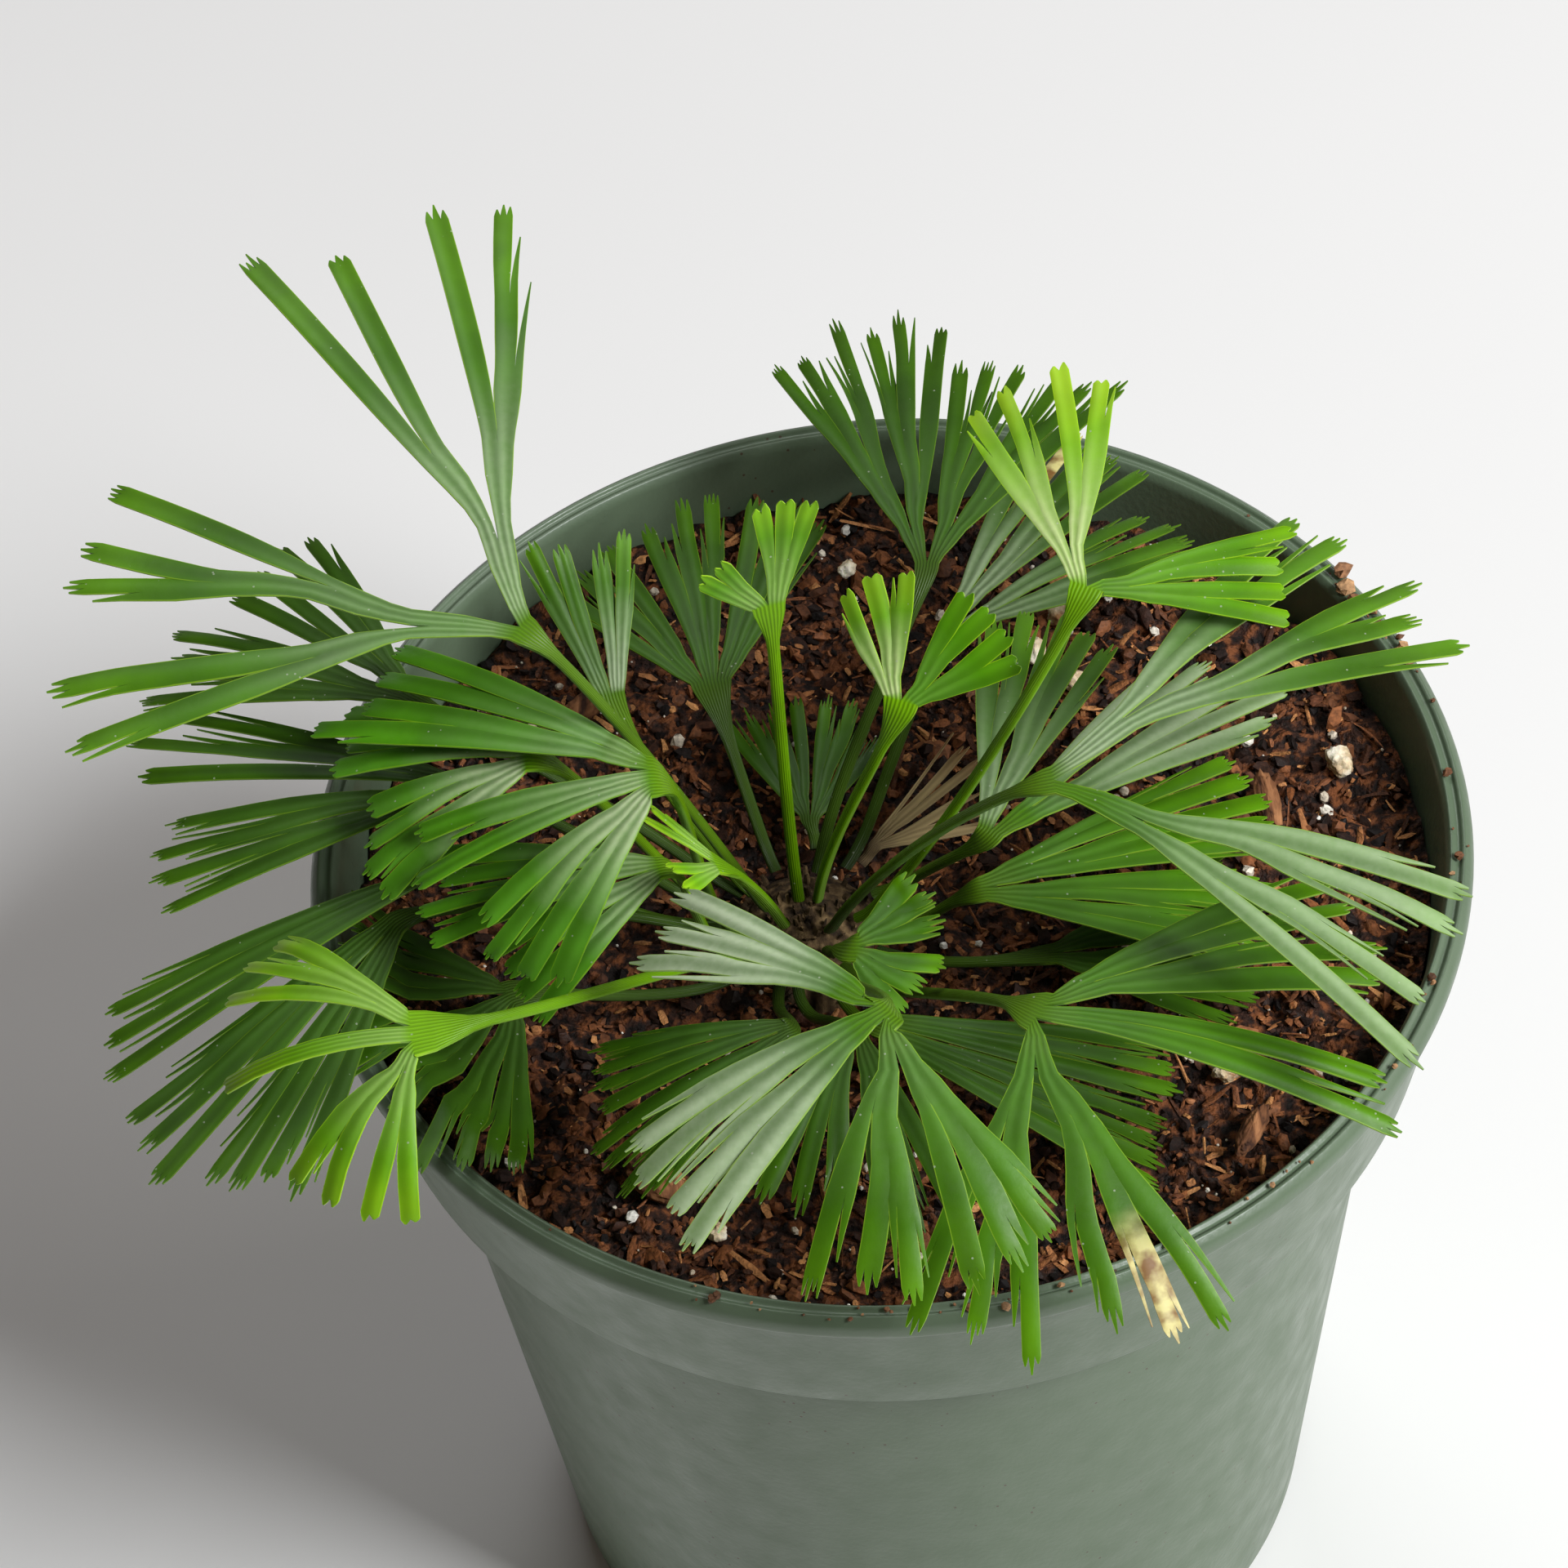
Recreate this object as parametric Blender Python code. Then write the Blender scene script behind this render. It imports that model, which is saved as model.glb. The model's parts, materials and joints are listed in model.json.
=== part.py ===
"""Potted fern: a small fern in a nursery pot of potting mix.

Metres, +Z up. The origin is the middle of the pot's base, and the fern's open side faces -Y.
Lengths in the tables are in millimetres and angles in degrees; MM turns them into metres.
An azimuth of 0 points along +X and 90 along +Y.
"""
import math
import random
from collections import namedtuple

import bmesh
import bpy
from mathutils import Matrix, Vector

MM = 0.001
UP = Vector((0.0, 0.0, 1.0))

# Pot
POT_HEIGHT = 0.096
RIM_RADIUS = 0.054
LIP_WIDTH = 0.0026
LIP_HEIGHT = 0.0022
LIP_ROUND = 0.0008
BAND_HEIGHT = 0.018
BAND_TAPER = 0.003
LEDGE_WIDTH = 0.0038
BODY_TAPER = 0.0085
WALL = 0.0012
FLOOR = 0.0016
BASE_ROUND = 0.0015
DRAIN_HOLES = 6
DRAIN_RADIUS = 0.0035
DRAIN_CIRCLE = 0.026
DRAIN_STEPS = 16
ROUND_STEPS = 48

# Potting mix
SOIL_DEPTH_BELOW_RIM = 0.007
SOIL_SWELL = 0.0008
SOIL_WAVES = ((0.6, 210.0, 1.3, 170.0, 1.17), (0.4, 120.0, 0.7, 95.0, 2.1))
SOIL_RINGS = 7

# Rhizome
CROWN_X = -0.0085
CROWN_Y = -0.005
CROWN_RADIUS = 0.0085
CROWN_DEPTH = 0.0040
CROWN_STEPS = 20

# Fronds
STIPE_WIDTH = 0.0011
STIPE_THICKNESS = 0.0010
STIPE_PULL = 0.9
BLADE_THICKNESS = 0.00045
NECK_SHARE = 0.75
TIP_SHARE = 0.70
ROOM_SHARE = 0.85
OPEN_FORKS = (0.18, 0.40, 0.62)
LENGTH_SPREAD = 0.07
STIPE_STEPS = 6
TIP_STEPS = 2
WEDGE_LENGTH = 0.009
RIM_CLEARANCE = 0.0020
SOIL_CLEARANCE = 0.0022
RIM_BLEND = 0.0040
SOFT_REACH = 0.0030

# Loose grains
GRAIN_ROUGHNESS = 0.12

SHARP_ANGLE = 40.0

# Pieces that touch keep this gap
FIT_GAP = 0.0003
RECESS_GAP = 0.0005

# turn: where the wing points, left of the blade's heading; lift: how far it rises above the blade
Wing = namedtuple("Wing", "turn lift length straps spread")

# root: azimuth and tilt from upright where the stipe leaves the crown
# fork: the blade's first fork, from the pot's axis and the top of its rim
# approach: how far the stipe runs along the blade's heading before the fork, a share of its chord
# forks: how far along a wing its straps fork again, as shares of its length
Frond = namedtuple("Frond", "name look root fork heading pitch bank droop strap wings approach forks",
                   defaults=(0.45, (0.10, 0.27, 0.44, 0.62)))

FRONDS = (
    # Tall fronds that arch over the pot
    Frond("frond_tall_left", "mature", (170, 22), (-31, -1.5, 37), 140, 8, 0, 16, 2.1,
          (Wing(-36, 10, 46, 4, 50), Wing(30, 1, 42, 5, 66)), 0.45, OPEN_FORKS),
    Frond("frond_long_right", "mature", (-50, 22), (14, -23, 35), 4, 4, 0, 22, 2.0,
          (Wing(30, 2, 39, 5, 48), Wing(-36, -2, 39, 4, 42)), 0.45, OPEN_FORKS),
    Frond("frond_front_centre", "mature", (-88, 40), (-3, -47, 36), 207, -4, 0, 30, 2.1,
          (Wing(-64, 4, 24, 3, 26), Wing(2, 0, 25, 4, 34), Wing(68, -8, 24, 6, 70)), 0.2),
    Frond("frond_front_right", "mature", (-62, 52), (11, -38, 22), -36, 2, 0, 28, 2.0,
          (Wing(50, 6, 31, 4, 30), Wing(20, 0, 32, 2, 12), Wing(-54, -8, 30, 6, 72))),
    Frond("frond_lime_left", "young", (240, 34), (-43, -38, 27.5), 184, 0, 0, 44, 2.2,
          (Wing(-42, 6, 20, 3, 36), Wing(-8, 2, 18, 1, 10), Wing(54, -8, 15, 4, 62)), 0.85),
    Frond("frond_lime_back", "young", (-15, 34), (19, -4, 38), 60, 16, 0, 16, 2.1,
          (Wing(34, 12, 21, 4, 52), Wing(-62, -3, 18, 4, 34))),
    # Middle layer on the left
    Frond("frond_mid_left_upper", "glossy", (200, 38), (-21, -10, 25), 182, 0, 0, 24, 2.1,
          (Wing(-34, 2, 32, 4, 24), Wing(4, -4, 24, 2, 20), Wing(38, -12, 20, 4, 36))),
    Frond("frond_mid_left", "glossy", (178, 42), (-32, -3, 21), 178, 0, 0, 24, 2.2,
          (Wing(-18, 0, 19, 3, 28), Wing(18, -8, 17, 4, 40))),
    Frond("frond_mid_left_lower", "glossy", (206, 48), (-21, -14, 17), 190, -4, 0, 16, 1.7,
          (Wing(-16, 0, 22, 4, 30), Wing(16, -6, 17, 4, 36))),
    Frond("frond_small_upright", "mature", (148, 36), (-24, 6, 18), 100, 48, 0, 0, 1.6,
          (Wing(10, 0, 15, 2, 16), Wing(-10, 4, 15, 2, 16))),
    # Outer fronds that rest over the rim on the left
    Frond("frond_far_left", "dark", (150, 45), (-43, 10, 16), 138, 0, 0, 20, 1.6,
          (Wing(-16, 0, 26, 4, 30), Wing(14, -4, 28, 4, 26))),
    Frond("frond_outer_left", "dark", (165, 52), (-39, 2, 12), 172, -2, 0, 12, 1.6,
          (Wing(-14, 0, 33, 3, 20), Wing(12, -2, 30, 4, 24))),
    Frond("frond_rim_left", "dark", (180, 57), (-41, -5, 9), 202, -2, 0, 10, 1.7,
          (Wing(0, 0, 34, 3, 14),)),
    Frond("frond_rim_front_left", "dark", (190, 44), (-46, -9, 6), 230, -2, 0, 16, 1.8,
          (Wing(-9, 0, 32, 3, 18), Wing(10, -2, 30, 4, 20))),
    # Low fronds close above the potting mix
    Frond("frond_low_left", "dark", (222, 66), (-36, -13, -1), 205, 4, 0, 4, 1.7,
          (Wing(-44, 0, 16, 4, 44), Wing(12, 0, 21, 4, 44), Wing(52, 2, 22, 4, 28))),
    Frond("frond_low_front_left", "dark", (250, 55), (-11, -28, 10), 194, -6, 0, 20, 1.5,
          (Wing(-12, 0, 19, 4, 24), Wing(14, -4, 20, 4, 28)), 0.25),
    Frond("frond_low_front", "dark", (262, 60), (-5, -26, 5), 262, -6, 0, 24, 1.7,
          (Wing(-14, 0, 17, 3, 30), Wing(20, 0, 21, 3, 26))),
    Frond("frond_low_front_right", "mature", (285, 62), (-2, -22, 1), 334, 0, 0, 4, 2.0,
          (Wing(8, 0, 28, 3, 14), Wing(-8, 0, 29, 4, 16))),
    Frond("frond_under_right", "dark", (325, 64), (14, -14, -1), 0, 2, 0, 4, 1.5,
          (Wing(16, 0, 19, 4, 30), Wing(-18, 0, 19, 4, 34))),
    Frond("frond_low_right", "mature", (-12, 55), (8, -12, 7), 7, -2, 0, 10, 1.9,
          (Wing(12, 0, 29, 5, 24), Wing(-14, -2, 26, 4, 26))),
    Frond("frond_right", "mature", (15, 50), (9, -11, 14), 53, 0, 0, 10, 1.8,
          (Wing(17, 0, 28, 5, 32), Wing(-16, -2, 32, 5, 28))),
    # Fronds that lean back
    Frond("frond_back_left", "dark", (112, 40), (-15, 14, 9), 96, 0, 0, 6, 1.7,
          (Wing(24, -4, 22, 3, 24), Wing(-2, 0, 24, 3, 20), Wing(-26, 0, 22, 3, 22))),
    Frond("frond_back_centre", "dark", (70, 32), (6, 19, 17), 83, 0, 0, 10, 1.5,
          (Wing(14, 0, 33, 6, 36), Wing(-18, -3, 30, 6, 36))),
    Frond("frond_back_right", "dark", (50, 48), (8, 17, 10), 44, -4, 0, 12, 1.5,
          (Wing(13, 0, 30, 5, 26), Wing(-12, -4, 27, 5, 24))),
    Frond("frond_centre_small", "dark", (78, 64), (-7, 6, -3), 80, 12, 0, 0, 1.3,
          (Wing(24, 0, 13, 4, 36), Wing(-16, 0, 13, 4, 36))),
    # Young growth in the middle
    Frond("frond_young", "young", (110, 6), (-9, -6, 42), 100, 76, 0, -10, 2.0,
          (Wing(38, 0, 7, 2, 24), Wing(-10, 0, 11, 3, 28))),
    Frond("frond_bud", "young", (222, 16), (-16, -14, 17), 195, 45, 0, 0, 1.7,
          (Wing(28, 0, 8, 2, 30), Wing(-28, 0, 8, 2, 30))),
    Frond("frond_small_lime", "young", (30, 10), (2, -4, 25), 62, 44, 0, 0, 2.2,
          (Wing(26, 0, 11, 3, 44), Wing(-34, 0, 11, 4, 50))),
    Frond("frond_serrated", "mature", (292, 34), (-4, -22, 13), 350, 8, 0, 0, 2.2,
          (Wing(34, 0, 8, 3, 60), Wing(-34, 0, 8, 3, 60))),
    Frond("frond_dried", "dried", (45, 64), (-1, 2, -3), 32, 4, 0, 0, 0.9,
          (Wing(14, 0, 14, 3, 24), Wing(-16, 0, 12, 3, 28))),
)

# Loose grains on the potting mix: place as shares of the lip's inner radius, then length, width and
# height
Grain = namedtuple("Grain", "name look x y size turn")
GRAINS = (
    Grain("perlite_01", "perlite", 0.37, 0.60, (3.0, 2.6, 2.0), 20),
    Grain("perlite_02", "perlite", 0.31, 0.51, (2.8, 2.5, 2.0), 75),
    Grain("perlite_03", "perlite", 0.38, 0.43, (3.0, 2.2, 1.8), 150),
    Grain("perlite_04", "perlite", 0.84, 0.18, (3.4, 2.4, 2.0), 100),
    Grain("perlite_05", "perlite", 0.55, -0.50, (2.6, 2.2, 1.8), 0),
    Grain("perlite_06", "perlite", -0.02, 0.76, (1.9, 1.6, 1.3), 40),
    Grain("perlite_07", "perlite", -0.37, -0.74, (2.0, 1.8, 1.5), 110),
    Grain("bark_chip_01", "bark", -0.47, -0.62, (6.5, 4.0, 2.2), 130),
    Grain("bark_chip_02", "bark", 0.70, 0.10, (7.0, 2.2, 1.6), 95),
    Grain("bark_chip_03", "bark", 0.58, -0.64, (6.0, 2.0, 1.5), 60),
    Grain("bark_chip_04", "bark", -0.53, 0.49, (5.0, 2.6, 1.6), 30),
)

# Base colour, roughness
FINISHES = {
    "pot": ((0.13, 0.20, 0.14), 0.42),
    "potting_mix": ((0.045, 0.022, 0.012), 0.95),
    "rhizome": ((0.09, 0.06, 0.03), 0.85),
    "dark": ((0.035, 0.11, 0.025), 0.45),
    "mature": ((0.06, 0.19, 0.03), 0.42),
    "glossy": ((0.09, 0.25, 0.04), 0.35),
    "young": ((0.28, 0.50, 0.02), 0.45),
    "dried": ((0.42, 0.30, 0.12), 0.80),
    "perlite": ((0.80, 0.72, 0.58), 0.90),
    "bark": ((0.20, 0.09, 0.04), 0.90),
}


def clear_objects():
    """Start from an empty scene."""
    for obj in list(bpy.data.objects):
        bpy.data.objects.remove(obj, do_unlink=True)


def finish(look):
    """The material of that look, made once."""
    material = bpy.data.materials.get(look)
    if material is None:
        colour, roughness = FINISHES[look]
        material = bpy.data.materials.new(look)
        material.use_nodes = True
        shader = material.node_tree.nodes["Principled BSDF"]
        shader.inputs["Base Color"].default_value = (*colour, 1.0)
        shader.inputs["Roughness"].default_value = roughness
        shader.inputs["Metallic"].default_value = 0.0
    return material


def add_object(name, points, faces, look, smooth=True):
    """One mesh object from points and faces, with its material."""
    mesh = bpy.data.meshes.new(name)
    mesh.from_pydata([tuple(p) for p in points], [], faces)
    mesh.materials.append(finish(look))
    if smooth:
        mesh.shade_smooth()
        mesh.set_sharp_from_angle(angle=math.radians(SHARP_ANGLE))
    obj = bpy.data.objects.new(name, mesh)
    bpy.context.scene.collection.objects.link(obj)
    return obj


def heading(azimuth, rise=0.0):
    """The unit vector at an azimuth and a rise above level, both in degrees."""
    a, e = math.radians(azimuth), math.radians(rise)
    return Vector((math.cos(e) * math.cos(a), math.cos(e) * math.sin(a), math.sin(e)))


def turned_shell(profile):
    """Points and faces of a profile turned about Z; it starts and ends on the axis."""
    rings = profile[1:-1]
    points = [Vector((0.0, 0.0, profile[0][1]))]
    for radius, z in rings:
        for step in range(ROUND_STEPS):
            a = 2.0 * math.pi * step / ROUND_STEPS
            points.append(Vector((radius * math.cos(a), radius * math.sin(a), z)))
    points.append(Vector((0.0, 0.0, profile[-1][1])))
    last = len(points) - 1
    faces = []
    for step in range(ROUND_STEPS):
        ahead = (step + 1) % ROUND_STEPS
        faces.append((0, 1 + ahead, 1 + step))
        for ring in range(len(rings) - 1):
            low = 1 + ring * ROUND_STEPS
            high = low + ROUND_STEPS
            faces.append((low + step, low + ahead, high + ahead, high + step))
        top = 1 + (len(rings) - 1) * ROUND_STEPS
        faces.append((top + step, top + ahead, last))
    return points, faces


# --- Pot ---------------------------------------------------------------------------------------

SHOULDER_Z = POT_HEIGHT - BAND_HEIGHT
BAND_TOP_RADIUS = RIM_RADIUS - LIP_ROUND
BAND_LOW_RADIUS = BAND_TOP_RADIUS - BAND_TAPER
BODY_TOP_RADIUS = BAND_LOW_RADIUS - LEDGE_WIDTH
BASE_RADIUS = BODY_TOP_RADIUS - BODY_TAPER
LIP_INNER_RADIUS = RIM_RADIUS - LIP_WIDTH


def inner_profile(gap=0.0):
    """Radius and height down the pot's inner wall, from the lip to the floor."""
    return (
        (LIP_INNER_RADIUS - gap, POT_HEIGHT - LIP_ROUND),
        (BAND_LOW_RADIUS - WALL - gap, SHOULDER_Z + WALL),
        (BODY_TOP_RADIUS - WALL - gap, SHOULDER_Z - WALL),
        (BASE_RADIUS - WALL - gap, FLOOR + gap),
    )


def make_pot():
    """The tapered pot: a rolled lip, a deep rim band with a ledge, and a drained floor."""
    outer = (
        (0.0, 0.0),
        (BASE_RADIUS - BASE_ROUND, 0.0),
        (BASE_RADIUS, BASE_ROUND),
        (BODY_TOP_RADIUS, SHOULDER_Z - WALL),
        (BODY_TOP_RADIUS + WALL, SHOULDER_Z),
        (BAND_LOW_RADIUS, SHOULDER_Z),
        (BAND_TOP_RADIUS, POT_HEIGHT - LIP_HEIGHT - LIP_ROUND),
        (RIM_RADIUS, POT_HEIGHT - LIP_HEIGHT),
        (RIM_RADIUS, POT_HEIGHT - LIP_ROUND),
        (RIM_RADIUS - LIP_ROUND, POT_HEIGHT),
        (LIP_INNER_RADIUS + LIP_ROUND, POT_HEIGHT),
    )
    points, faces = turned_shell(outer + inner_profile() + ((0.0, FLOOR),))
    pot = add_object("pot", points, faces, "pot")
    cutter = drain_cutter()
    cut = pot.modifiers.new("drain_holes", "BOOLEAN")
    cut.operation = "DIFFERENCE"
    cut.object = cutter


def drain_cutter():
    """Upright pins that cut the drainage holes through the floor."""
    mesh = bmesh.new()
    for hole in range(DRAIN_HOLES):
        spot = heading(360.0 * hole / DRAIN_HOLES) * DRAIN_CIRCLE + UP * FLOOR / 2.0
        bmesh.ops.create_cone(mesh, cap_ends=True, segments=DRAIN_STEPS, radius1=DRAIN_RADIUS,
                              radius2=DRAIN_RADIUS, depth=FLOOR * 3.0,
                              matrix=Matrix.Translation(spot))
    data = bpy.data.meshes.new("drain_cutter")
    mesh.to_mesh(data)
    mesh.free()
    return add_cutter("drain_cutter", data)


def add_cutter(name, data):
    """A hidden object that only cuts."""
    cutter = bpy.data.objects.new(name, data)
    cutter.hide_render = True
    cutter.display_type = "WIRE"
    bpy.context.scene.collection.objects.link(cutter)
    return cutter


# --- Potting mix -------------------------------------------------------------------------------

SOIL_Z = POT_HEIGHT - SOIL_DEPTH_BELOW_RIM


def soil_height(x, y):
    """The height of the uneven surface of the potting mix."""
    waves = (share * math.sin(along * x + start) * math.sin(across * y + turn)
             for share, along, start, across, turn in SOIL_WAVES)
    return SOIL_Z + SOIL_SWELL * sum(waves)


def wall_radius(z, gap):
    """The radius of the pot's inner wall at a height, less a gap."""
    walls = inner_profile(gap)
    for (upper_radius, upper), (lower_radius, lower) in zip(walls, walls[1:]):
        if z >= lower:
            share = (z - lower) / (upper - lower)
            return lower_radius + share * (upper_radius - lower_radius)
    return walls[-1][0]


def make_potting_mix():
    """The mix fills the pot to below its lip, with a hollow where the rhizome sits."""
    edge = wall_radius(SOIL_Z - SOIL_SWELL, FIT_GAP)
    below = [(r, z) for r, z in inner_profile(FIT_GAP) if z < SOIL_Z - SOIL_SWELL]
    points, faces = turned_shell(
        [(0.0, below[-1][1])] + below[::-1]
        + [(edge * ring / SOIL_RINGS, SOIL_Z) for ring in range(SOIL_RINGS, 0, -1)]
        + [(0.0, SOIL_Z)])
    for point in points:
        if point.z > SOIL_Z - FIT_GAP:
            point.z = soil_height(point.x, point.y)
    mix = add_object("potting_mix", points, faces, "potting_mix")
    cut = mix.modifiers.new("rhizome_hollow", "BOOLEAN")
    cut.operation = "DIFFERENCE"
    cut.object = add_cutter("rhizome_cutter", crown_mesh("rhizome_cutter", RECESS_GAP))


# --- Rhizome -----------------------------------------------------------------------------------

CROWN = Vector((CROWN_X, CROWN_Y, SOIL_Z - CROWN_DEPTH))


def crown_mesh(name, gap):
    """A ball at the crown, grown by a gap."""
    mesh = bmesh.new()
    bmesh.ops.create_uvsphere(mesh, u_segments=CROWN_STEPS, v_segments=CROWN_STEPS // 2,
                              radius=CROWN_RADIUS + gap, matrix=Matrix.Translation(CROWN))
    data = bpy.data.meshes.new(name)
    mesh.to_mesh(data)
    mesh.free()
    return data


def make_rhizome():
    """The knob that every stipe grows from, half sunk in the mix."""
    data = crown_mesh("rhizome", 0.0)
    data.materials.append(finish("rhizome"))
    data.shade_smooth()
    bpy.context.scene.collection.objects.link(bpy.data.objects.new("rhizome", data))


# --- Fronds ------------------------------------------------------------------------------------

# One strip of a blade: its angle in the wing, the angle that its side may turn from that, how far
# from the fork it ends, and what it forks into
Strip = namedtuple("Strip", "angle room end children")


def plan_strip(wing, forks, straps, low, high, level, chance):
    """Share straps over the angles low to high: a strip forks in two until one strap is left."""
    angle, room = (low + high) / 2.0, (high - low) / 2.0
    if straps == 1:
        return Strip(angle, room, wing.length * (1.0 + chance.uniform(-LENGTH_SPREAD, LENGTH_SPREAD)), ())
    left = (straps + level % 2) // 2
    left = min(max(left, 1), straps - 1)
    split = high - (high - low) * left / straps
    children = (plan_strip(wing, forks, left, split, high, level + 1, chance),
                plan_strip(wing, forks, straps - left, low, split, level + 1, chance))
    return Strip(angle, room, wing.length * forks[level], children)


def zip_rows(first, second):
    """Faces between two rows of points that may differ in number, both from left to right."""
    faces = []
    i = j = 0
    while i < len(first) - 1 or j < len(second) - 1:
        step_first = (i + 1) / (len(first) - 1) if i < len(first) - 1 else 2.0
        step_second = (j + 1) / (len(second) - 1) if j < len(second) - 1 else 2.0
        if abs(step_first - step_second) < 1e-9:
            faces.append((first[i], first[i + 1], second[j + 1], second[j]))
            i, j = i + 1, j + 1
        elif step_first < step_second:
            faces.append((first[i], first[i + 1], second[j]))
            i += 1
        else:
            faces.append((first[i], second[j + 1], second[j]))
            j += 1
    return faces


class Sheet:
    """The mid-surface of a frond: points with a normal and a thickness, and faces."""

    def __init__(self):
        self.points = []
        self.normals = []
        self.thickness = []
        self.faces = []

    def add(self, point, normal, thickness):
        self.points.append(clear_of_pot(point))
        self.normals.append(normal.normalized())
        self.thickness.append(thickness)
        return len(self.points) - 1

    def join(self, first, second):
        self.faces += zip_rows(first, second)

    def solid(self):
        """Points and faces of the sheet with its thickness: two skins and an edge wall."""
        count = len(self.points)
        upper = [p + n * t / 2.0 for p, n, t in zip(self.points, self.normals, self.thickness)]
        lower = [p - n * t / 2.0 for p, n, t in zip(self.points, self.normals, self.thickness)]
        edges = set()
        for face in self.faces:
            for a, b in zip(face, face[1:] + face[:1]):
                edges.add((a, b))
        faces = list(self.faces)
        faces += [tuple(i + count for i in face[::-1]) for face in self.faces]
        for a, b in sorted(edges):
            if (b, a) not in edges:
                faces.append((b, a, a + count, b + count))
        return upper + lower, faces


def clear_of_pot(point):
    """Lift a point that would touch the mix or the rim, keeping what is above it above it."""
    out = math.hypot(point.x, point.y)
    inside = LIP_INNER_RADIUS - RIM_CLEARANCE - RIM_BLEND
    soil = SOIL_Z + SOIL_SWELL + SOIL_CLEARANCE
    rim = POT_HEIGHT + RIM_CLEARANCE
    share = min(max((out - inside) / RIM_BLEND, 0.0), 1.0)
    floor = soil + share * (rim - soil)
    height = point.z - floor
    if height >= SOFT_REACH:
        return point
    lifted = SOFT_REACH * math.exp((height - SOFT_REACH) / SOFT_REACH)
    return Vector((point.x, point.y, floor + lifted))


def wing_place(origin, ahead, side, normal, droop):
    """Where a flat point of the wing lies once its straps bend down with distance."""
    def place(x, y):
        out = math.hypot(x, y)
        bend = droop * out
        along = math.sin(bend) / droop if abs(bend) > 1e-6 else out
        sink = (1.0 - math.cos(bend)) / droop if abs(bend) > 1e-6 else 0.0
        direction = (ahead * x + side * y) / max(out, 1e-9)
        return (origin + direction * along - normal * sink,
                normal * math.cos(bend) + direction * math.sin(bend))
    return place


def add_strip(sheet, place, strip, row, start, reach, begun, width):
    """Grow one strip from a row of points as wide as begun, then what it forks into.

    Its sides keep within its room, so that neighbours part from their fork on.
    """
    angle = math.radians(strip.angle)
    ahead = (math.cos(angle), math.sin(angle))
    aside = (-ahead[1], ahead[0])
    length = strip.end * MM - reach
    if strip.children:
        stations = ((1.0, 2.0 * NECK_SHARE * width, 2),)
    else:
        stations = tuple((step / TIP_STEPS, width * (TIP_SHARE if step == TIP_STEPS else 1.0), 1)
                         for step in range(1, TIP_STEPS + 1))
    flare = 2.0 * ROOM_SHARE * math.tan(math.radians(strip.room))
    for share, full, cells in stations:
        wide = min(full, begun + flare * length * share)
        middle = (start[0] + ahead[0] * length * share, start[1] + ahead[1] * length * share)
        fresh = []
        for cell in range(cells + 1):
            offset = wide * (0.5 - cell / cells)
            point, normal = place(middle[0] + aside[0] * offset, middle[1] + aside[1] * offset)
            fresh.append(sheet.add(point, normal, BLADE_THICKNESS))
        sheet.join(row, fresh)
        row = fresh
    for number, child in enumerate(strip.children):
        offset = wide / 2.0 * (0.5 - number)
        begin = (middle[0] + aside[0] * offset, middle[1] + aside[1] * offset)
        add_strip(sheet, place, child, row[number:number + 2], begin, strip.end * MM, wide / 2.0, width)


def make_frond(frond):
    """A stipe that widens into a forked blade, grown as one piece."""
    sheet = Sheet()
    chance = random.Random(frond.name)
    strap = frond.strap * MM
    fork = Vector(frond.fork) * MM + UP * POT_HEIGHT
    ahead = heading(frond.heading, frond.pitch)
    side = Matrix.Rotation(math.radians(frond.bank), 3, ahead) @ UP.cross(ahead).normalized()
    normal = ahead.cross(side)

    # Stipe: a curve from the crown to the fork
    leave = heading(frond.root[0], 90.0 - frond.root[1])
    root = CROWN + leave * (CROWN_RADIUS + RECESS_GAP)
    chord = (fork - root).length
    start_pull, end_pull = leave * chord * STIPE_PULL, ahead * chord * frond.approach
    root_side = UP.cross(fork - root).normalized()
    if root_side.dot(side) < 0.0:
        root_side = -root_side
    fork_width = len(frond.wings) * NECK_SHARE * strap
    row = None
    wedge = min(WEDGE_LENGTH / chord, 0.5)
    for step in range(STIPE_STEPS + 1):
        t = step / STIPE_STEPS
        point, tangent = hermite(root, fork, start_pull, end_pull, t)
        across = root_side.lerp(side, t * t)
        across = (across - tangent * across.dot(tangent)).normalized()
        spread = max(0.0, (t - 1.0 + wedge) / wedge)
        wide = STIPE_WIDTH + (fork_width - STIPE_WIDTH) * spread
        thick = STIPE_THICKNESS + (BLADE_THICKNESS - STIPE_THICKNESS) * spread
        cells = len(frond.wings) if step == STIPE_STEPS else 1
        fresh = [sheet.add(point + across * wide * (0.5 - cell / cells),
                           tangent.cross(across), thick) for cell in range(cells + 1)]
        if row:
            sheet.join(row, fresh)
        row = fresh

    # Blade: wings from left to right
    wings = sorted(frond.wings, key=lambda wing: -wing.turn)
    for number, wing in enumerate(wings):
        offset = fork_width * (0.5 - (number + 0.5) / len(wings))
        spin = Matrix.Rotation(math.radians(wing.turn), 3, normal)
        wing_side = spin @ side
        rise = Matrix.Rotation(-math.radians(wing.lift), 3, wing_side)
        wing_ahead = rise @ spin @ ahead
        wing_normal = rise @ normal
        droop = math.radians(frond.droop) / (wing.length * MM)
        place = wing_place(fork + side * offset, wing_ahead, wing_side, wing_normal, droop)
        half = wing.spread / 2.0
        strip = plan_strip(wing, frond.forks, wing.straps, -half, half, 0, chance)
        add_strip(sheet, place, strip, row[number:number + 2], (0.0, 0.0), 0.0, NECK_SHARE * strap, strap)
    points, faces = sheet.solid()
    add_object(frond.name, points, faces, frond.look)


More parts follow.
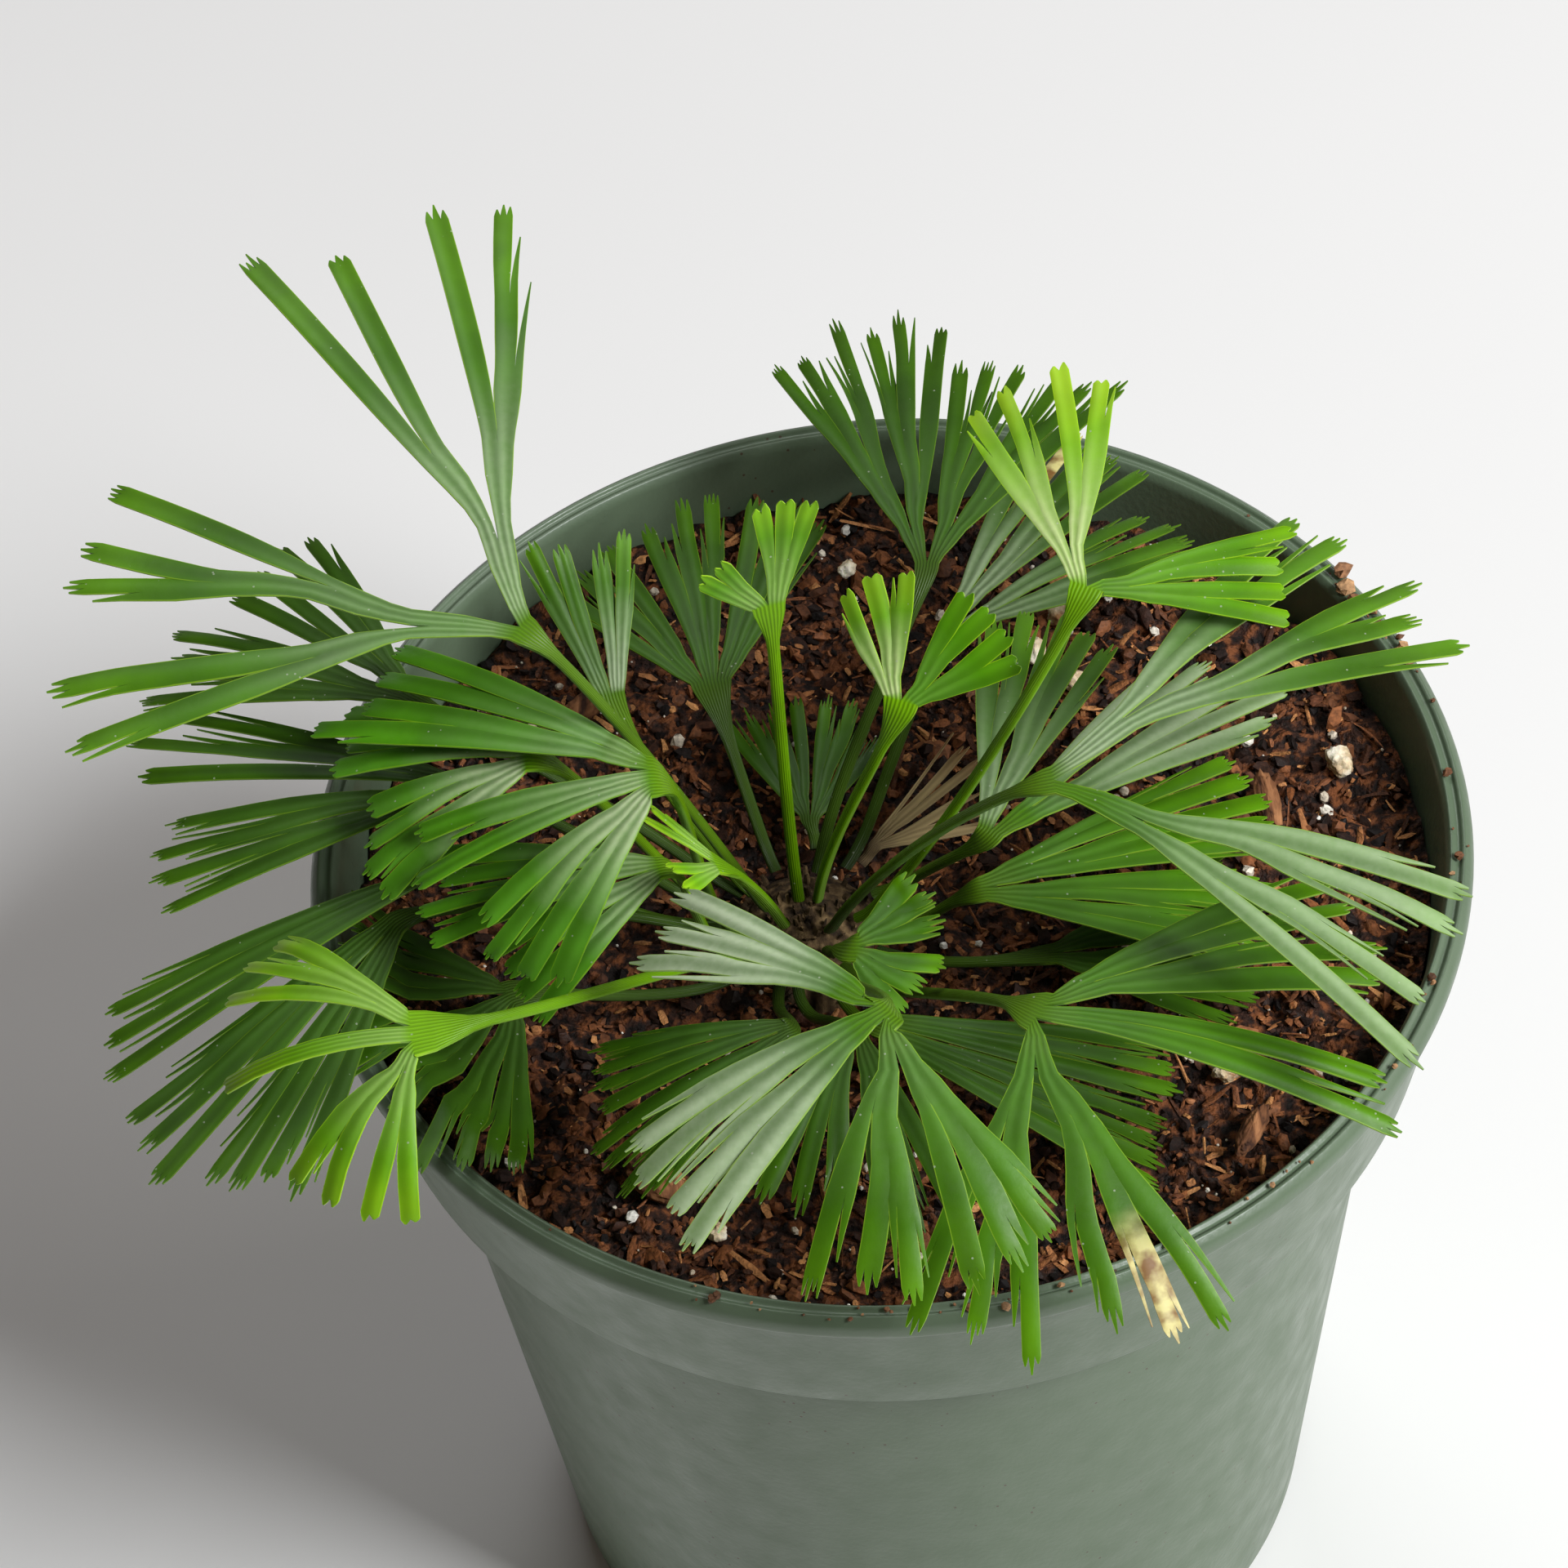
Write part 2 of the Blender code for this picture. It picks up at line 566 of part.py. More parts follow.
def hermite(start, end, leave, arrive, t):
    """A point on a smooth curve between two points, and its direction there."""
    a, b = 2.0 * t ** 3 - 3.0 * t ** 2 + 1.0, t ** 3 - 2.0 * t ** 2 + t
    c, d = -2.0 * t ** 3 + 3.0 * t ** 2, t ** 3 - t ** 2
    point = start * a + leave * b + end * c + arrive * d
    da, db = 6.0 * t ** 2 - 6.0 * t, 3.0 * t ** 2 - 4.0 * t + 1.0
    dc, dd = -da, 3.0 * t ** 2 - 2.0 * t
    return point, (start * da + leave * db + end * dc + arrive * dd).normalized()


# --- Loose grains ------------------------------------------------------------------------------

def make_grain(grain):
    """A rough grain that rests on the potting mix."""
    mesh = bmesh.new()
    bmesh.ops.create_icosphere(mesh, subdivisions=1, radius=0.5)
    chance = random.Random(grain.name)
    for vert in mesh.verts:
        vert.co *= 1.0 + chance.uniform(-GRAIN_ROUGHNESS, GRAIN_ROUGHNESS)
    half = max(grain.size[:2]) / 2.0 * MM
    x, y = grain.x * LIP_INNER_RADIUS, grain.y * LIP_INNER_RADIUS
    under = max(soil_height(x + half * math.cos(a), y + half * math.sin(a))
                for a in (math.radians(45.0 * k) for k in range(8)))
    under = max(under, soil_height(x, y))
    size = Vector(grain.size) * MM
    turn = Matrix.Rotation(math.radians(grain.turn), 4, "Z")
    shape = turn @ Matrix.Diagonal(size).to_4x4()
    bmesh.ops.transform(mesh, matrix=shape, verts=mesh.verts)
    lowest = min(vert.co.z for vert in mesh.verts)
    lift = Matrix.Translation((x, y, under + FIT_GAP - lowest))
    bmesh.ops.transform(mesh, matrix=lift, verts=mesh.verts)
    data = bpy.data.meshes.new(grain.name)
    mesh.to_mesh(data)
    mesh.free()
    data.materials.append(finish(grain.look))
    bpy.context.scene.collection.objects.link(bpy.data.objects.new(grain.name, data))


clear_objects()
make_pot()
make_potting_mix()
make_rhizome()
for plan in FRONDS:
    make_frond(plan)
for plan in GRAINS:
    make_grain(plan)
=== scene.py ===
"""Looks of the potted fern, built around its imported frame.

Metres, +Z up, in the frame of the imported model. The tables of fronds and grains give lengths in
millimetres and angles in degrees, as the model's own source does; MM turns them into metres.
An azimuth of 0 points along +X and 90 along +Y.
"""
import json
import math
import random
from collections import namedtuple

import bpy
from mathutils import Matrix, Vector, noise

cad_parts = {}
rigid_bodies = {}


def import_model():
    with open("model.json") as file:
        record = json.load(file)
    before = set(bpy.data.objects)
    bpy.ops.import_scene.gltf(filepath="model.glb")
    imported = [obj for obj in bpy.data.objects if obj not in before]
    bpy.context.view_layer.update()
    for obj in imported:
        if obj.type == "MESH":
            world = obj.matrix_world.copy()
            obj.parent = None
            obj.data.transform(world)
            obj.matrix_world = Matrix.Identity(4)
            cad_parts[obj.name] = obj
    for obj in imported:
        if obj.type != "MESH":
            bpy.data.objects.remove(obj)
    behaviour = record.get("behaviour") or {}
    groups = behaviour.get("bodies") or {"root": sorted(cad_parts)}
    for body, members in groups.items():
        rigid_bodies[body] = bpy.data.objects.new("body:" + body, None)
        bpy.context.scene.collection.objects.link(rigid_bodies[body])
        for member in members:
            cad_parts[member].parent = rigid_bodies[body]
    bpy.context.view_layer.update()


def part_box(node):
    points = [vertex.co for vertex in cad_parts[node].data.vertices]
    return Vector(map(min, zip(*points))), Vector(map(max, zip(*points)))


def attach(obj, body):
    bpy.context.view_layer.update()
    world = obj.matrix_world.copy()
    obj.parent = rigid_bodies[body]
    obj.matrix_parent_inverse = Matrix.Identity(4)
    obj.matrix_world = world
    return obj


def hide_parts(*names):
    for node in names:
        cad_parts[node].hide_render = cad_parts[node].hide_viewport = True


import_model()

MM = 0.001
UP = Vector((0.0, 0.0, 1.0))

# Places taken from the frame
POT_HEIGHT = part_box("pot")[1][2]
RIM_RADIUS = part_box("pot")[1][0]
SOIL_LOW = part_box("potting_mix")[0][2]
CROWN = (Vector(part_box("rhizome")[0]) + Vector(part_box("rhizome")[1])) / 2.0
CROWN_RADIUS = (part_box("rhizome")[1][2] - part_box("rhizome")[0][2]) / 2.0

# Pot, as the model's source has it
LIP_WIDTH = 0.0026
LIP_HEIGHT = 0.0022
BAND_HEIGHT = 0.018
BAND_TAPER = 0.003
LEDGE_WIDTH = 0.0038
BODY_TAPER = 0.0085
LIP_ROUND = 0.0008
WALL = 0.0012
FLOOR = 0.0016
BASE_ROUND = 0.0015
DRAIN_HOLES = 6
DRAIN_RADIUS = 0.0035
DRAIN_CIRCLE = 0.026
POT_STEPS = 180
POT_CORNER = 0.0007
POT_STATION = 0.004

# The least angle in degrees at which an edge stays sharp
POT_SHARP, LEAF_SHARP, BIT_SHARP = 50.0, 55.0, 42.0

# Potting mix, as the model's source has it
SOIL_DEPTH_BELOW_RIM = 0.007
SOIL_SWELL = 0.0008
SOIL_WAVES = ((0.6, 210.0, 1.3, 170.0, 1.17), (0.4, 120.0, 0.7, 95.0, 2.1))
SOIL_Z = POT_HEIGHT - SOIL_DEPTH_BELOW_RIM

# Fronds, as the model's source has them
NECK_SHARE = 0.75
OPEN_FORKS = (0.18, 0.40, 0.62)
LENGTH_SPREAD = 0.07
WEDGE_LENGTH = 0.009
STIPE_PULL = 0.9
STIPE_WIDTH = 0.0011
STIPE_THICKNESS = 0.0010
RIM_CLEARANCE = 0.0020
SOIL_CLEARANCE = 0.0022
RIM_BLEND = 0.0040
SOFT_REACH = 0.0030
RECESS_GAP = 0.0005

# Blade detail: straps may widen into the whole room of their fork, which the model's may not
ROOM_SHARE = 1.0
BLADE_THICKNESS = 0.00030
EDGE_THICKNESS = 0.00016
CELLS = 4
TOOTH_CELLS = 2
TOOTH_CLOSE = 0.16
TIP_FAN = 2.0
TIP_WIDTH_SHARE = 0.86
STATION = 0.0026
SHORTEST_STRIP = 0.0003
STRAP_RISE_SHARE = 0.035
STRAP_TWIST = 16.0
TWIST_END = 1.2
FORK_LEAN = 0.3
STIPE_ROWS = 26
VEINS_PER_STRAP = 4
ARCH = 0.022
FORK_REACH = 0.0035

Wing = namedtuple("Wing", "turn lift length straps spread")
Frond = namedtuple("Frond", "name look root fork heading pitch bank droop strap wings "
                            "approach forks", defaults=(0.45, (0.10, 0.27, 0.44, 0.62)))

FRONDS = (
    # Tall fronds that arch over the pot
    Frond("frond_tall_left", "mature", (170, 22), (-31, -1.5, 37), 140, 8, 0, 16, 2.1,
          (Wing(-36, 10, 46, 4, 50), Wing(30, 1, 42, 5, 66)), 0.45, OPEN_FORKS),
    Frond("frond_long_right", "mature", (-50, 22), (14, -23, 35), 4, 4, 0, 22, 2.0,
          (Wing(30, 2, 39, 5, 48), Wing(-36, -2, 39, 4, 42)), 0.45, OPEN_FORKS),
    Frond("frond_front_centre", "mature", (-88, 40), (-3, -47, 36), 207, -4, 0, 30, 2.1,
          (Wing(-64, 4, 24, 3, 26), Wing(2, 0, 25, 4, 34), Wing(68, -8, 24, 6, 70)), 0.2),
    Frond("frond_front_right", "mature", (-62, 52), (11, -38, 22), -36, 2, 0, 28, 2.0,
          (Wing(50, 6, 31, 4, 30), Wing(20, 0, 32, 2, 12), Wing(-54, -8, 30, 6, 72))),
    Frond("frond_lime_left", "young", (240, 34), (-43, -38, 27.5), 184, 0, 0, 44, 2.2,
          (Wing(-42, 6, 20, 3, 36), Wing(-8, 2, 18, 1, 10), Wing(54, -8, 15, 4, 62)), 0.85),
    Frond("frond_lime_back", "young", (-15, 34), (19, -4, 38), 60, 16, 0, 16, 2.1,
          (Wing(34, 12, 21, 4, 52), Wing(-62, -3, 18, 4, 34))),
    # Middle layer on the left
    Frond("frond_mid_left_upper", "glossy", (200, 38), (-21, -10, 25), 182, 0, 0, 24, 2.1,
          (Wing(-34, 2, 32, 4, 24), Wing(4, -4, 24, 2, 20), Wing(38, -12, 20, 4, 36))),
    Frond("frond_mid_left", "glossy", (178, 42), (-32, -3, 21), 178, 0, 0, 24, 2.2,
          (Wing(-18, 0, 19, 3, 28), Wing(18, -8, 17, 4, 40))),
    Frond("frond_mid_left_lower", "glossy", (206, 48), (-21, -14, 17), 190, -4, 0, 16, 1.7,
          (Wing(-16, 0, 22, 4, 30), Wing(16, -6, 17, 4, 36))),
    Frond("frond_small_upright", "mature", (148, 36), (-24, 6, 18), 100, 48, 0, 0, 1.6,
          (Wing(10, 0, 15, 2, 16), Wing(-10, 4, 15, 2, 16))),
    # Outer fronds that rest over the rim on the left
    Frond("frond_far_left", "dark", (150, 45), (-43, 10, 16), 138, 0, 0, 20, 1.6,
          (Wing(-16, 0, 26, 4, 30), Wing(14, -4, 28, 4, 26))),
    Frond("frond_outer_left", "dark", (165, 52), (-39, 2, 12), 172, -2, 0, 12, 1.6,
          (Wing(-14, 0, 33, 3, 20), Wing(12, -2, 30, 4, 24))),
    Frond("frond_rim_left", "dark", (180, 57), (-41, -5, 9), 202, -2, 0, 10, 1.7,
          (Wing(0, 0, 34, 3, 14),)),
    Frond("frond_rim_front_left", "dark", (190, 44), (-46, -9, 6), 230, -2, 0, 16, 1.8,
          (Wing(-9, 0, 32, 3, 18), Wing(10, -2, 30, 4, 20))),
    # Low fronds close above the potting mix
    Frond("frond_low_left", "dark", (222, 66), (-36, -13, -1), 205, 4, 0, 4, 1.7,
          (Wing(-44, 0, 16, 4, 44), Wing(12, 0, 21, 4, 44), Wing(52, 2, 22, 4, 28))),
    Frond("frond_low_front_left", "dark", (250, 55), (-11, -28, 10), 194, -6, 0, 20, 1.5,
          (Wing(-12, 0, 19, 4, 24), Wing(14, -4, 20, 4, 28)), 0.25),
    Frond("frond_low_front", "dark", (262, 60), (-5, -26, 5), 262, -6, 0, 24, 1.7,
          (Wing(-14, 0, 17, 3, 30), Wing(20, 0, 21, 3, 26))),
    Frond("frond_low_front_right", "mature", (285, 62), (-2, -22, 1), 334, 0, 0, 4, 2.0,
          (Wing(8, 0, 28, 3, 14), Wing(-8, 0, 29, 4, 16))),
    Frond("frond_under_right", "dark", (325, 64), (14, -14, -1), 0, 2, 0, 4, 1.5,
          (Wing(16, 0, 19, 4, 30), Wing(-18, 0, 19, 4, 34))),
    Frond("frond_low_right", "mature", (-12, 55), (8, -12, 7), 7, -2, 0, 10, 1.9,
          (Wing(12, 0, 29, 5, 24), Wing(-14, -2, 26, 4, 26))),
    Frond("frond_right", "mature", (15, 50), (9, -11, 14), 53, 0, 0, 10, 1.8,
          (Wing(17, 0, 28, 5, 32), Wing(-16, -2, 32, 5, 28))),
    # Fronds that lean back
    Frond("frond_back_left", "dark", (112, 40), (-15, 14, 9), 96, 0, 0, 6, 1.7,
          (Wing(24, -4, 22, 3, 24), Wing(-2, 0, 24, 3, 20), Wing(-26, 0, 22, 3, 22))),
    Frond("frond_back_centre", "dark", (70, 32), (6, 19, 17), 83, 0, 0, 10, 1.5,
          (Wing(14, 0, 33, 6, 36), Wing(-18, -3, 30, 6, 36))),
    Frond("frond_back_right", "dark", (50, 48), (8, 17, 10), 44, -4, 0, 12, 1.5,
          (Wing(13, 0, 30, 5, 26), Wing(-12, -4, 27, 5, 24))),
    Frond("frond_centre_small", "dark", (78, 64), (-7, 6, -3), 80, 12, 0, 0, 1.3,
          (Wing(24, 0, 13, 4, 36), Wing(-16, 0, 13, 4, 36))),
    # Young growth in the middle
    Frond("frond_young", "young", (110, 6), (-9, -6, 42), 100, 76, 0, -10, 2.0,
          (Wing(38, 0, 7, 2, 24), Wing(-10, 0, 11, 3, 28))),
    Frond("frond_bud", "young", (222, 16), (-16, -14, 17), 195, 45, 0, 0, 1.7,
          (Wing(28, 0, 8, 2, 30), Wing(-28, 0, 8, 2, 30))),
    Frond("frond_small_lime", "young", (30, 10), (2, -4, 25), 62, 44, 0, 0, 2.2,
          (Wing(26, 0, 11, 3, 44), Wing(-34, 0, 11, 4, 50))),
    Frond("frond_serrated", "mature", (292, 34), (-4, -22, 13), 350, 8, 0, 0, 2.2,
          (Wing(34, 0, 8, 3, 60), Wing(-34, 0, 8, 3, 60))),
    Frond("frond_dried", "dried", (45, 64), (-1, 2, -3), 32, 4, 0, 0, 0.9,
          (Wing(14, 0, 14, 3, 24), Wing(-16, 0, 12, 3, 28))),
)

# How each look of blade ends: side teeth beyond a strap's last fork, teeth at its tip, and how
# long those are in millimetres; waist: how narrow a strap leaves its fork; full: how much wider
# its straps are than the model's, which keep clear of each other
Edge = namedtuple("Edge", "side_teeth tip_teeth tooth waist full")
EDGES = {
    "mature": Edge((0, 1, 1, 2), (3, 3, 4), (0.8, 2.4), 0.56, 1.22),
    "dark": Edge((0, 1, 1, 2), (3, 3, 4), (1.0, 2.6), 0.58, 1.22),
    "glossy": Edge((0, 0, 1), (3, 4, 4), (0.5, 1.3), 0.62, 1.35),
    "young": Edge((0, 0, 1), (2, 2), (0.4, 0.9), 0.46, 0.98),
    "dried": Edge((0, 1), (1, 2), (1.0, 2.5), 0.7, 1.2),
}

# Leaf colours: of the pale painted sheen, a painted highlight (fork), along the strap, at its tip,
# of its thin margin and its stipe
Leaf = namedtuple("Leaf", "fork strap tip margin stipe roughness")
LEAVES = {
    "mature": Leaf((0.460, 0.560, 0.360), (0.052, 0.165, 0.001), (0.082, 0.225, 0.001),
                   (0.26, 0.44, 0.02), (0.090, 0.190, 0.006), 0.42),
    "dark": Leaf((0.300, 0.380, 0.230), (0.034, 0.104, 0.002), (0.050, 0.140, 0.001),
                 (0.15, 0.28, 0.01), (0.045, 0.095, 0.006), 0.42),
    "glossy": Leaf((0.460, 0.550, 0.320), (0.062, 0.235, 0.001), (0.078, 0.300, 0.001),
                   (0.22, 0.45, 0.01), (0.120, 0.250, 0.004), 0.34),
    "young": Leaf((0.500, 0.620, 0.260), (0.190, 0.440, 0.001), (0.330, 0.570, 0.001),
                  (0.38, 0.66, 0.01), (0.145, 0.330, 0.002), 0.42),
    "dried": Leaf((0.36, 0.27, 0.13), (0.42, 0.31, 0.15), (0.30, 0.17, 0.07),
                  (0.50, 0.38, 0.20), (0.25, 0.17, 0.09), 0.80),
}

# How far the pale painted sheen, a painted highlight on the leaves, covers each wing, from left to
# right:
# above 0 it lies from the fork on, below 0 towards the tips
USUAL_PAINTED_SHEEN = {"mature": 0.05, "dark": 0.06, "glossy": 0.35, "young": 0.30, "dried": 0.0}
PAINTED_SHEEN = {
    "frond_front_centre": (0.10, -0.70, -0.95),
    "frond_long_right": (0.55, -0.45),
    "frond_mid_left_upper": (0.8, 0.5, 0.25),
    "frond_mid_left": (0.85, 0.7),
    "frond_mid_left_lower": (0.6, 0.4),
    "frond_lime_back": (0.95, 0.1),
    "frond_small_lime": (0.9, 0.1),
    "frond_small_upright": (0.2, 0.75),
    "frond_back_right": (0.75, 0.5),
    "frond_right": (0.45, -0.6),
    "frond_tall_left": (0.25, 0.45),
}
# Wings of young fronds that have already turned green
GREENED = {
    "frond_small_lime": (0.5, 0.9),
    "frond_lime_back": (0.0, 0.75),
    "frond_lime_left": (0.6, 0.45, 0.25),
    "frond_young": (0.75, 0.65),
    "frond_bud": (0.4, 0.2),
}
# Straps that end in brown tips: the frond, then the wing's and the strap's numbers from the left
BROWN = {"frond_front_right": {(2, 1)}, "frond_back_right": {(0, 1)}}

Grain = namedtuple("Grain", "name look size turn")
GRAINS = (
    Grain("perlite_01", "perlite", (3.0, 2.6, 2.0), 20),
    Grain("perlite_02", "perlite", (2.8, 2.5, 2.0), 75),
    Grain("perlite_03", "perlite", (3.0, 2.2, 1.8), 150),
    Grain("perlite_04", "perlite", (3.4, 2.4, 2.0), 100),
    Grain("perlite_05", "perlite", (2.6, 2.2, 1.8), 0),
    Grain("perlite_06", "perlite", (1.9, 1.6, 1.3), 40),
    Grain("perlite_07", "perlite", (2.0, 1.8, 1.5), 110),
    Grain("bark_chip_01", "bark", (6.5, 4.0, 2.2), 130),
    Grain("bark_chip_02", "bark", (7.0, 2.2, 1.6), 95),
    Grain("bark_chip_03", "bark", (6.0, 2.0, 1.5), 60),
    Grain("bark_chip_04", "bark", (5.0, 2.6, 1.6), 30),
)


def heading(azimuth, rise=0.0):
    """The unit vector at an azimuth and a rise above level, both in degrees."""
    a, e = math.radians(azimuth), math.radians(rise)
    return Vector((math.cos(e) * math.cos(a), math.cos(e) * math.sin(a), math.sin(e)))


def stretched(spot, size):
    """A place with each of its parts multiplied by that part of a size."""
    return Vector([part * share for part, share in zip(spot, size)])


def smooth_step(value):
    """0 below 0, 1 above 1, and a smooth rise between."""
    value = min(max(value, 0.0), 1.0)
    return value * value * (3.0 - 2.0 * value)


# --- Camera, light and floor -------------------------------------------------------------------

CAMERA_TARGET = Vector((-0.00914, 0.00826, POT_HEIGHT))
CAMERA_RISE = 50.6
CAMERA_ROLL = -5.52
CAMERA_DISTANCE = 0.611
CAMERA_LENS = 150.0
CAMERA_SENSOR = 36.0

Light = namedtuple("Light", "name azimuth rise distance size power colour")
LIGHTS = (
    Light("key", -35.0, 46.0, 1.1, 0.38, 15.1, (0.98, 1.0, 1.01)),
    Light("side", 4.0, 22.0, 0.9, 0.30, 1.0, (1.0, 0.99, 0.96)),
    Light("top", 95.0, 56.0, 1.0, 0.40, 2.3, (0.96, 0.98, 1.0)),
)
SKY = (1.0, 0.80, 0.69)
SKY_STRENGTH = 0.080
FLOOR_COLOUR = (0.84, 0.835, 0.83)
FLOOR_CLOUD = 1.02
FLOOR_HALF = 3.0


def make_camera():
    """The camera above the fern's open side, rolled a little, as the photograph was taken."""
    away = heading(-90.0, CAMERA_RISE)
    right, up = Vector((1.0, 0.0, 0.0)), away.cross(Vector((1.0, 0.0, 0.0)))
    roll = Matrix.Rotation(math.radians(CAMERA_ROLL), 3, "Z")
    axes = Matrix((right, up, away)).transposed() @ roll
    data = bpy.data.cameras.new("camera")
    data.lens = CAMERA_LENS
    data.sensor_width = CAMERA_SENSOR
    camera = bpy.data.objects.new("camera", data)
    camera.matrix_world = Matrix.Translation(CAMERA_TARGET + away * CAMERA_DISTANCE) @ axes.to_4x4()
    bpy.context.scene.collection.objects.link(camera)
    bpy.context.scene.camera = camera


def make_light(light):
    """A square soft light that looks at the fern."""
    data = bpy.data.lights.new(light.name, "AREA")
    data.size = light.size
    data.energy = light.power
    data.color = light.colour
    lamp = bpy.data.objects.new(light.name, data)
    away = heading(light.azimuth, light.rise)
    place = Matrix.Translation(Vector((0.0, 0.0, POT_HEIGHT)) + away * light.distance)
    lamp.matrix_world = place @ away.to_track_quat("Z", "Y").to_matrix().to_4x4()
    bpy.context.scene.collection.objects.link(lamp)


def make_stage():
    """A plain pale floor, a pale sky and three soft lights."""
    for light in LIGHTS:
        make_light(light)
    world = bpy.data.worlds.new("sky")
    world.use_nodes = True
    sky = world.node_tree.nodes["Background"]
    sky.inputs["Color"].default_value = (*SKY, 1.0)
    sky.inputs["Strength"].default_value = SKY_STRENGTH
    bpy.context.scene.world = world
    bpy.context.scene.view_settings.view_transform = "Standard"
    material, tree, shader = new_material("floor", roughness=0.85, specular=0.1)
    lighter = [part * FLOOR_CLOUD for part in FLOOR_COLOUR]
    tone = ramp(tree, noise_of(tree, 6.0, 2.0), ((0.3, FLOOR_COLOUR), (0.7, lighter)))
    tree.links.new(tone, shader.inputs["Base Color"])
    half = FLOOR_HALF
    corners = ((-half, -half, 0.0), (half, -half, 0.0), (half, half, 0.0), (-half, half, 0.0))
    floor = mesh_object("floor", corners, ((0, 1, 2, 3),), material)


# --- Nodes -------------------------------------------------------------------------------------

def new_material(name, roughness=0.5, specular=0.5, subsurface=0.0):
    """A material with a Principled shader, its node tree and that shader."""
    material = bpy.data.materials.new(name)
    material.use_nodes = True
    tree = material.node_tree
    shader = tree.nodes["Principled BSDF"]
    shader.inputs["Roughness"].default_value = roughness
    shader.inputs["Specular IOR Level"].default_value = specular
    shader.inputs["Subsurface Weight"].default_value = subsurface
    shader.inputs["Subsurface Radius"].default_value = (0.6, 1.0, 0.25)
    shader.inputs["Subsurface Scale"].default_value = 0.0006
    return material, tree, shader


def feed(tree, socket, value):
    """Link a socket to another, or set its number or colour."""
    if isinstance(value, bpy.types.NodeSocket):
        tree.links.new(value, socket)
    elif isinstance(value, (tuple, list)) and len(socket.default_value) == 4:
        socket.default_value = (*value, 1.0)
    else:
        socket.default_value = value


def maths(tree, operation, first, second=0.0, clamp=False):
    """A Math node's result."""
    node = tree.nodes.new("ShaderNodeMath")
    node.operation = operation
    node.use_clamp = clamp
    feed(tree, node.inputs[0], first)
    feed(tree, node.inputs[1], second)
    return node.outputs[0]


def plus(tree, first, second):
    """The sum of two values."""
    return maths(tree, "ADD", first, second)


def times(tree, first, second, clamp=False):
    """The product of two values, kept within 0 to 1 if clamp is set."""
    return maths(tree, "MULTIPLY", first, second, clamp)


def mixed(tree, share, first, second, blend="MIX"):
    """Two colours mixed by a share."""
    node = tree.nodes.new("ShaderNodeMix")
    node.data_type = "RGBA"
    node.blend_type = blend
    feed(tree, node.inputs["Factor"], share)
    feed(tree, node.inputs[6], first)
    feed(tree, node.inputs[7], second)
    return node.outputs[2]


def ramp(tree, value, stops):
    """A colour ramp over a value; each stop is a place and a colour or a grey level."""
    node = tree.nodes.new("ShaderNodeValToRGB")
    elements = node.color_ramp.elements
    while len(elements) < len(stops):
        elements.new(0.5)
    for element, (place, colour) in zip(elements, stops):
        element.position = place
        colour = (colour,) * 3 if isinstance(colour, (int, float)) else tuple(colour)
        element.color = (*colour, 1.0)
    tree.links.new(value, node.inputs["Fac"])
    return node.outputs["Color"]


def places_of(tree, stretch=(1.0, 1.0, 1.0)):
    """The piece's own coordinates, stretched."""
    place = tree.nodes.new("ShaderNodeTexCoord").outputs["Object"]
    mapping = tree.nodes.new("ShaderNodeMapping")
    mapping.inputs["Scale"].default_value = stretch
    tree.links.new(place, mapping.inputs["Vector"])
    return mapping.outputs["Vector"]


def noise_of(tree, scale, detail=3.0, place=None, distortion=0.0):
    """Noise over the piece's own coordinates."""
    node = tree.nodes.new("ShaderNodeTexNoise")
    node.inputs["Scale"].default_value = scale
    node.inputs["Detail"].default_value = detail
    node.inputs["Distortion"].default_value = distortion
    tree.links.new(place or places_of(tree), node.inputs["Vector"])
    return node.outputs["Fac"]


def cells_of(tree, scale, place=None, output="Distance"):
    """Distances or colours of scattered cells."""
    node = tree.nodes.new("ShaderNodeTexVoronoi")
    node.inputs["Scale"].default_value = scale
    tree.links.new(place or places_of(tree), node.inputs["Vector"])
    return node.outputs[output]


def attribute_of(tree, name):
    """The parts of a vector kept on the mesh's points."""
    node = tree.nodes.new("ShaderNodeAttribute")
    node.attribute_name = name
    split = tree.nodes.new("ShaderNodeSeparateXYZ")
    tree.links.new(node.outputs["Vector"], split.inputs[0])
    return split.outputs


def bump(tree, shader, height, strength, distance):
    """Raise the shading by a height."""
    node = tree.nodes.new("ShaderNodeBump")
    node.inputs["Strength"].default_value = strength
    node.inputs["Distance"].default_value = distance
    tree.links.new(height, node.inputs["Height"])
    tree.links.new(node.outputs["Normal"], shader.inputs["Normal"])


def mesh_object(name, points, faces, *materials):
    """A smooth mesh object with its materials."""
    mesh = bpy.data.meshes.new(name)
    mesh.from_pydata([tuple(point) for point in points], [], faces)
    for material in materials:
        mesh.materials.append(material)
    mesh.shade_smooth()
    obj = bpy.data.objects.new(name, mesh)
    bpy.context.scene.collection.objects.link(obj)
    return obj


def capped_rings(first, sides, rings):
    """Faces of a closed form whose points run from its low pole, ring by ring, to its high one."""
    last = first + 1 + rings * sides
    faces = []
    for step in range(sides):
        ahead = (step + 1) % sides
        faces.append((first, first + 1 + ahead, first + 1 + step))
        for ring in range(rings - 1):
            low = first + 1 + ring * sides
            high = low + sides
            faces.append((low + step, low + ahead, high + ahead, high + step))
        faces.append((last - sides + step, last - sides + ahead, last))
    return faces


def keep_vectors(mesh, name, values):
    """Keep one vector for each point of a mesh, for its material to read."""
    kept = mesh.attributes.new(name, "FLOAT_VECTOR", "POINT")
    kept.data.foreach_set("vector", [number for value in values for number in value])


# --- Pot ---------------------------------------------------------------------------------------

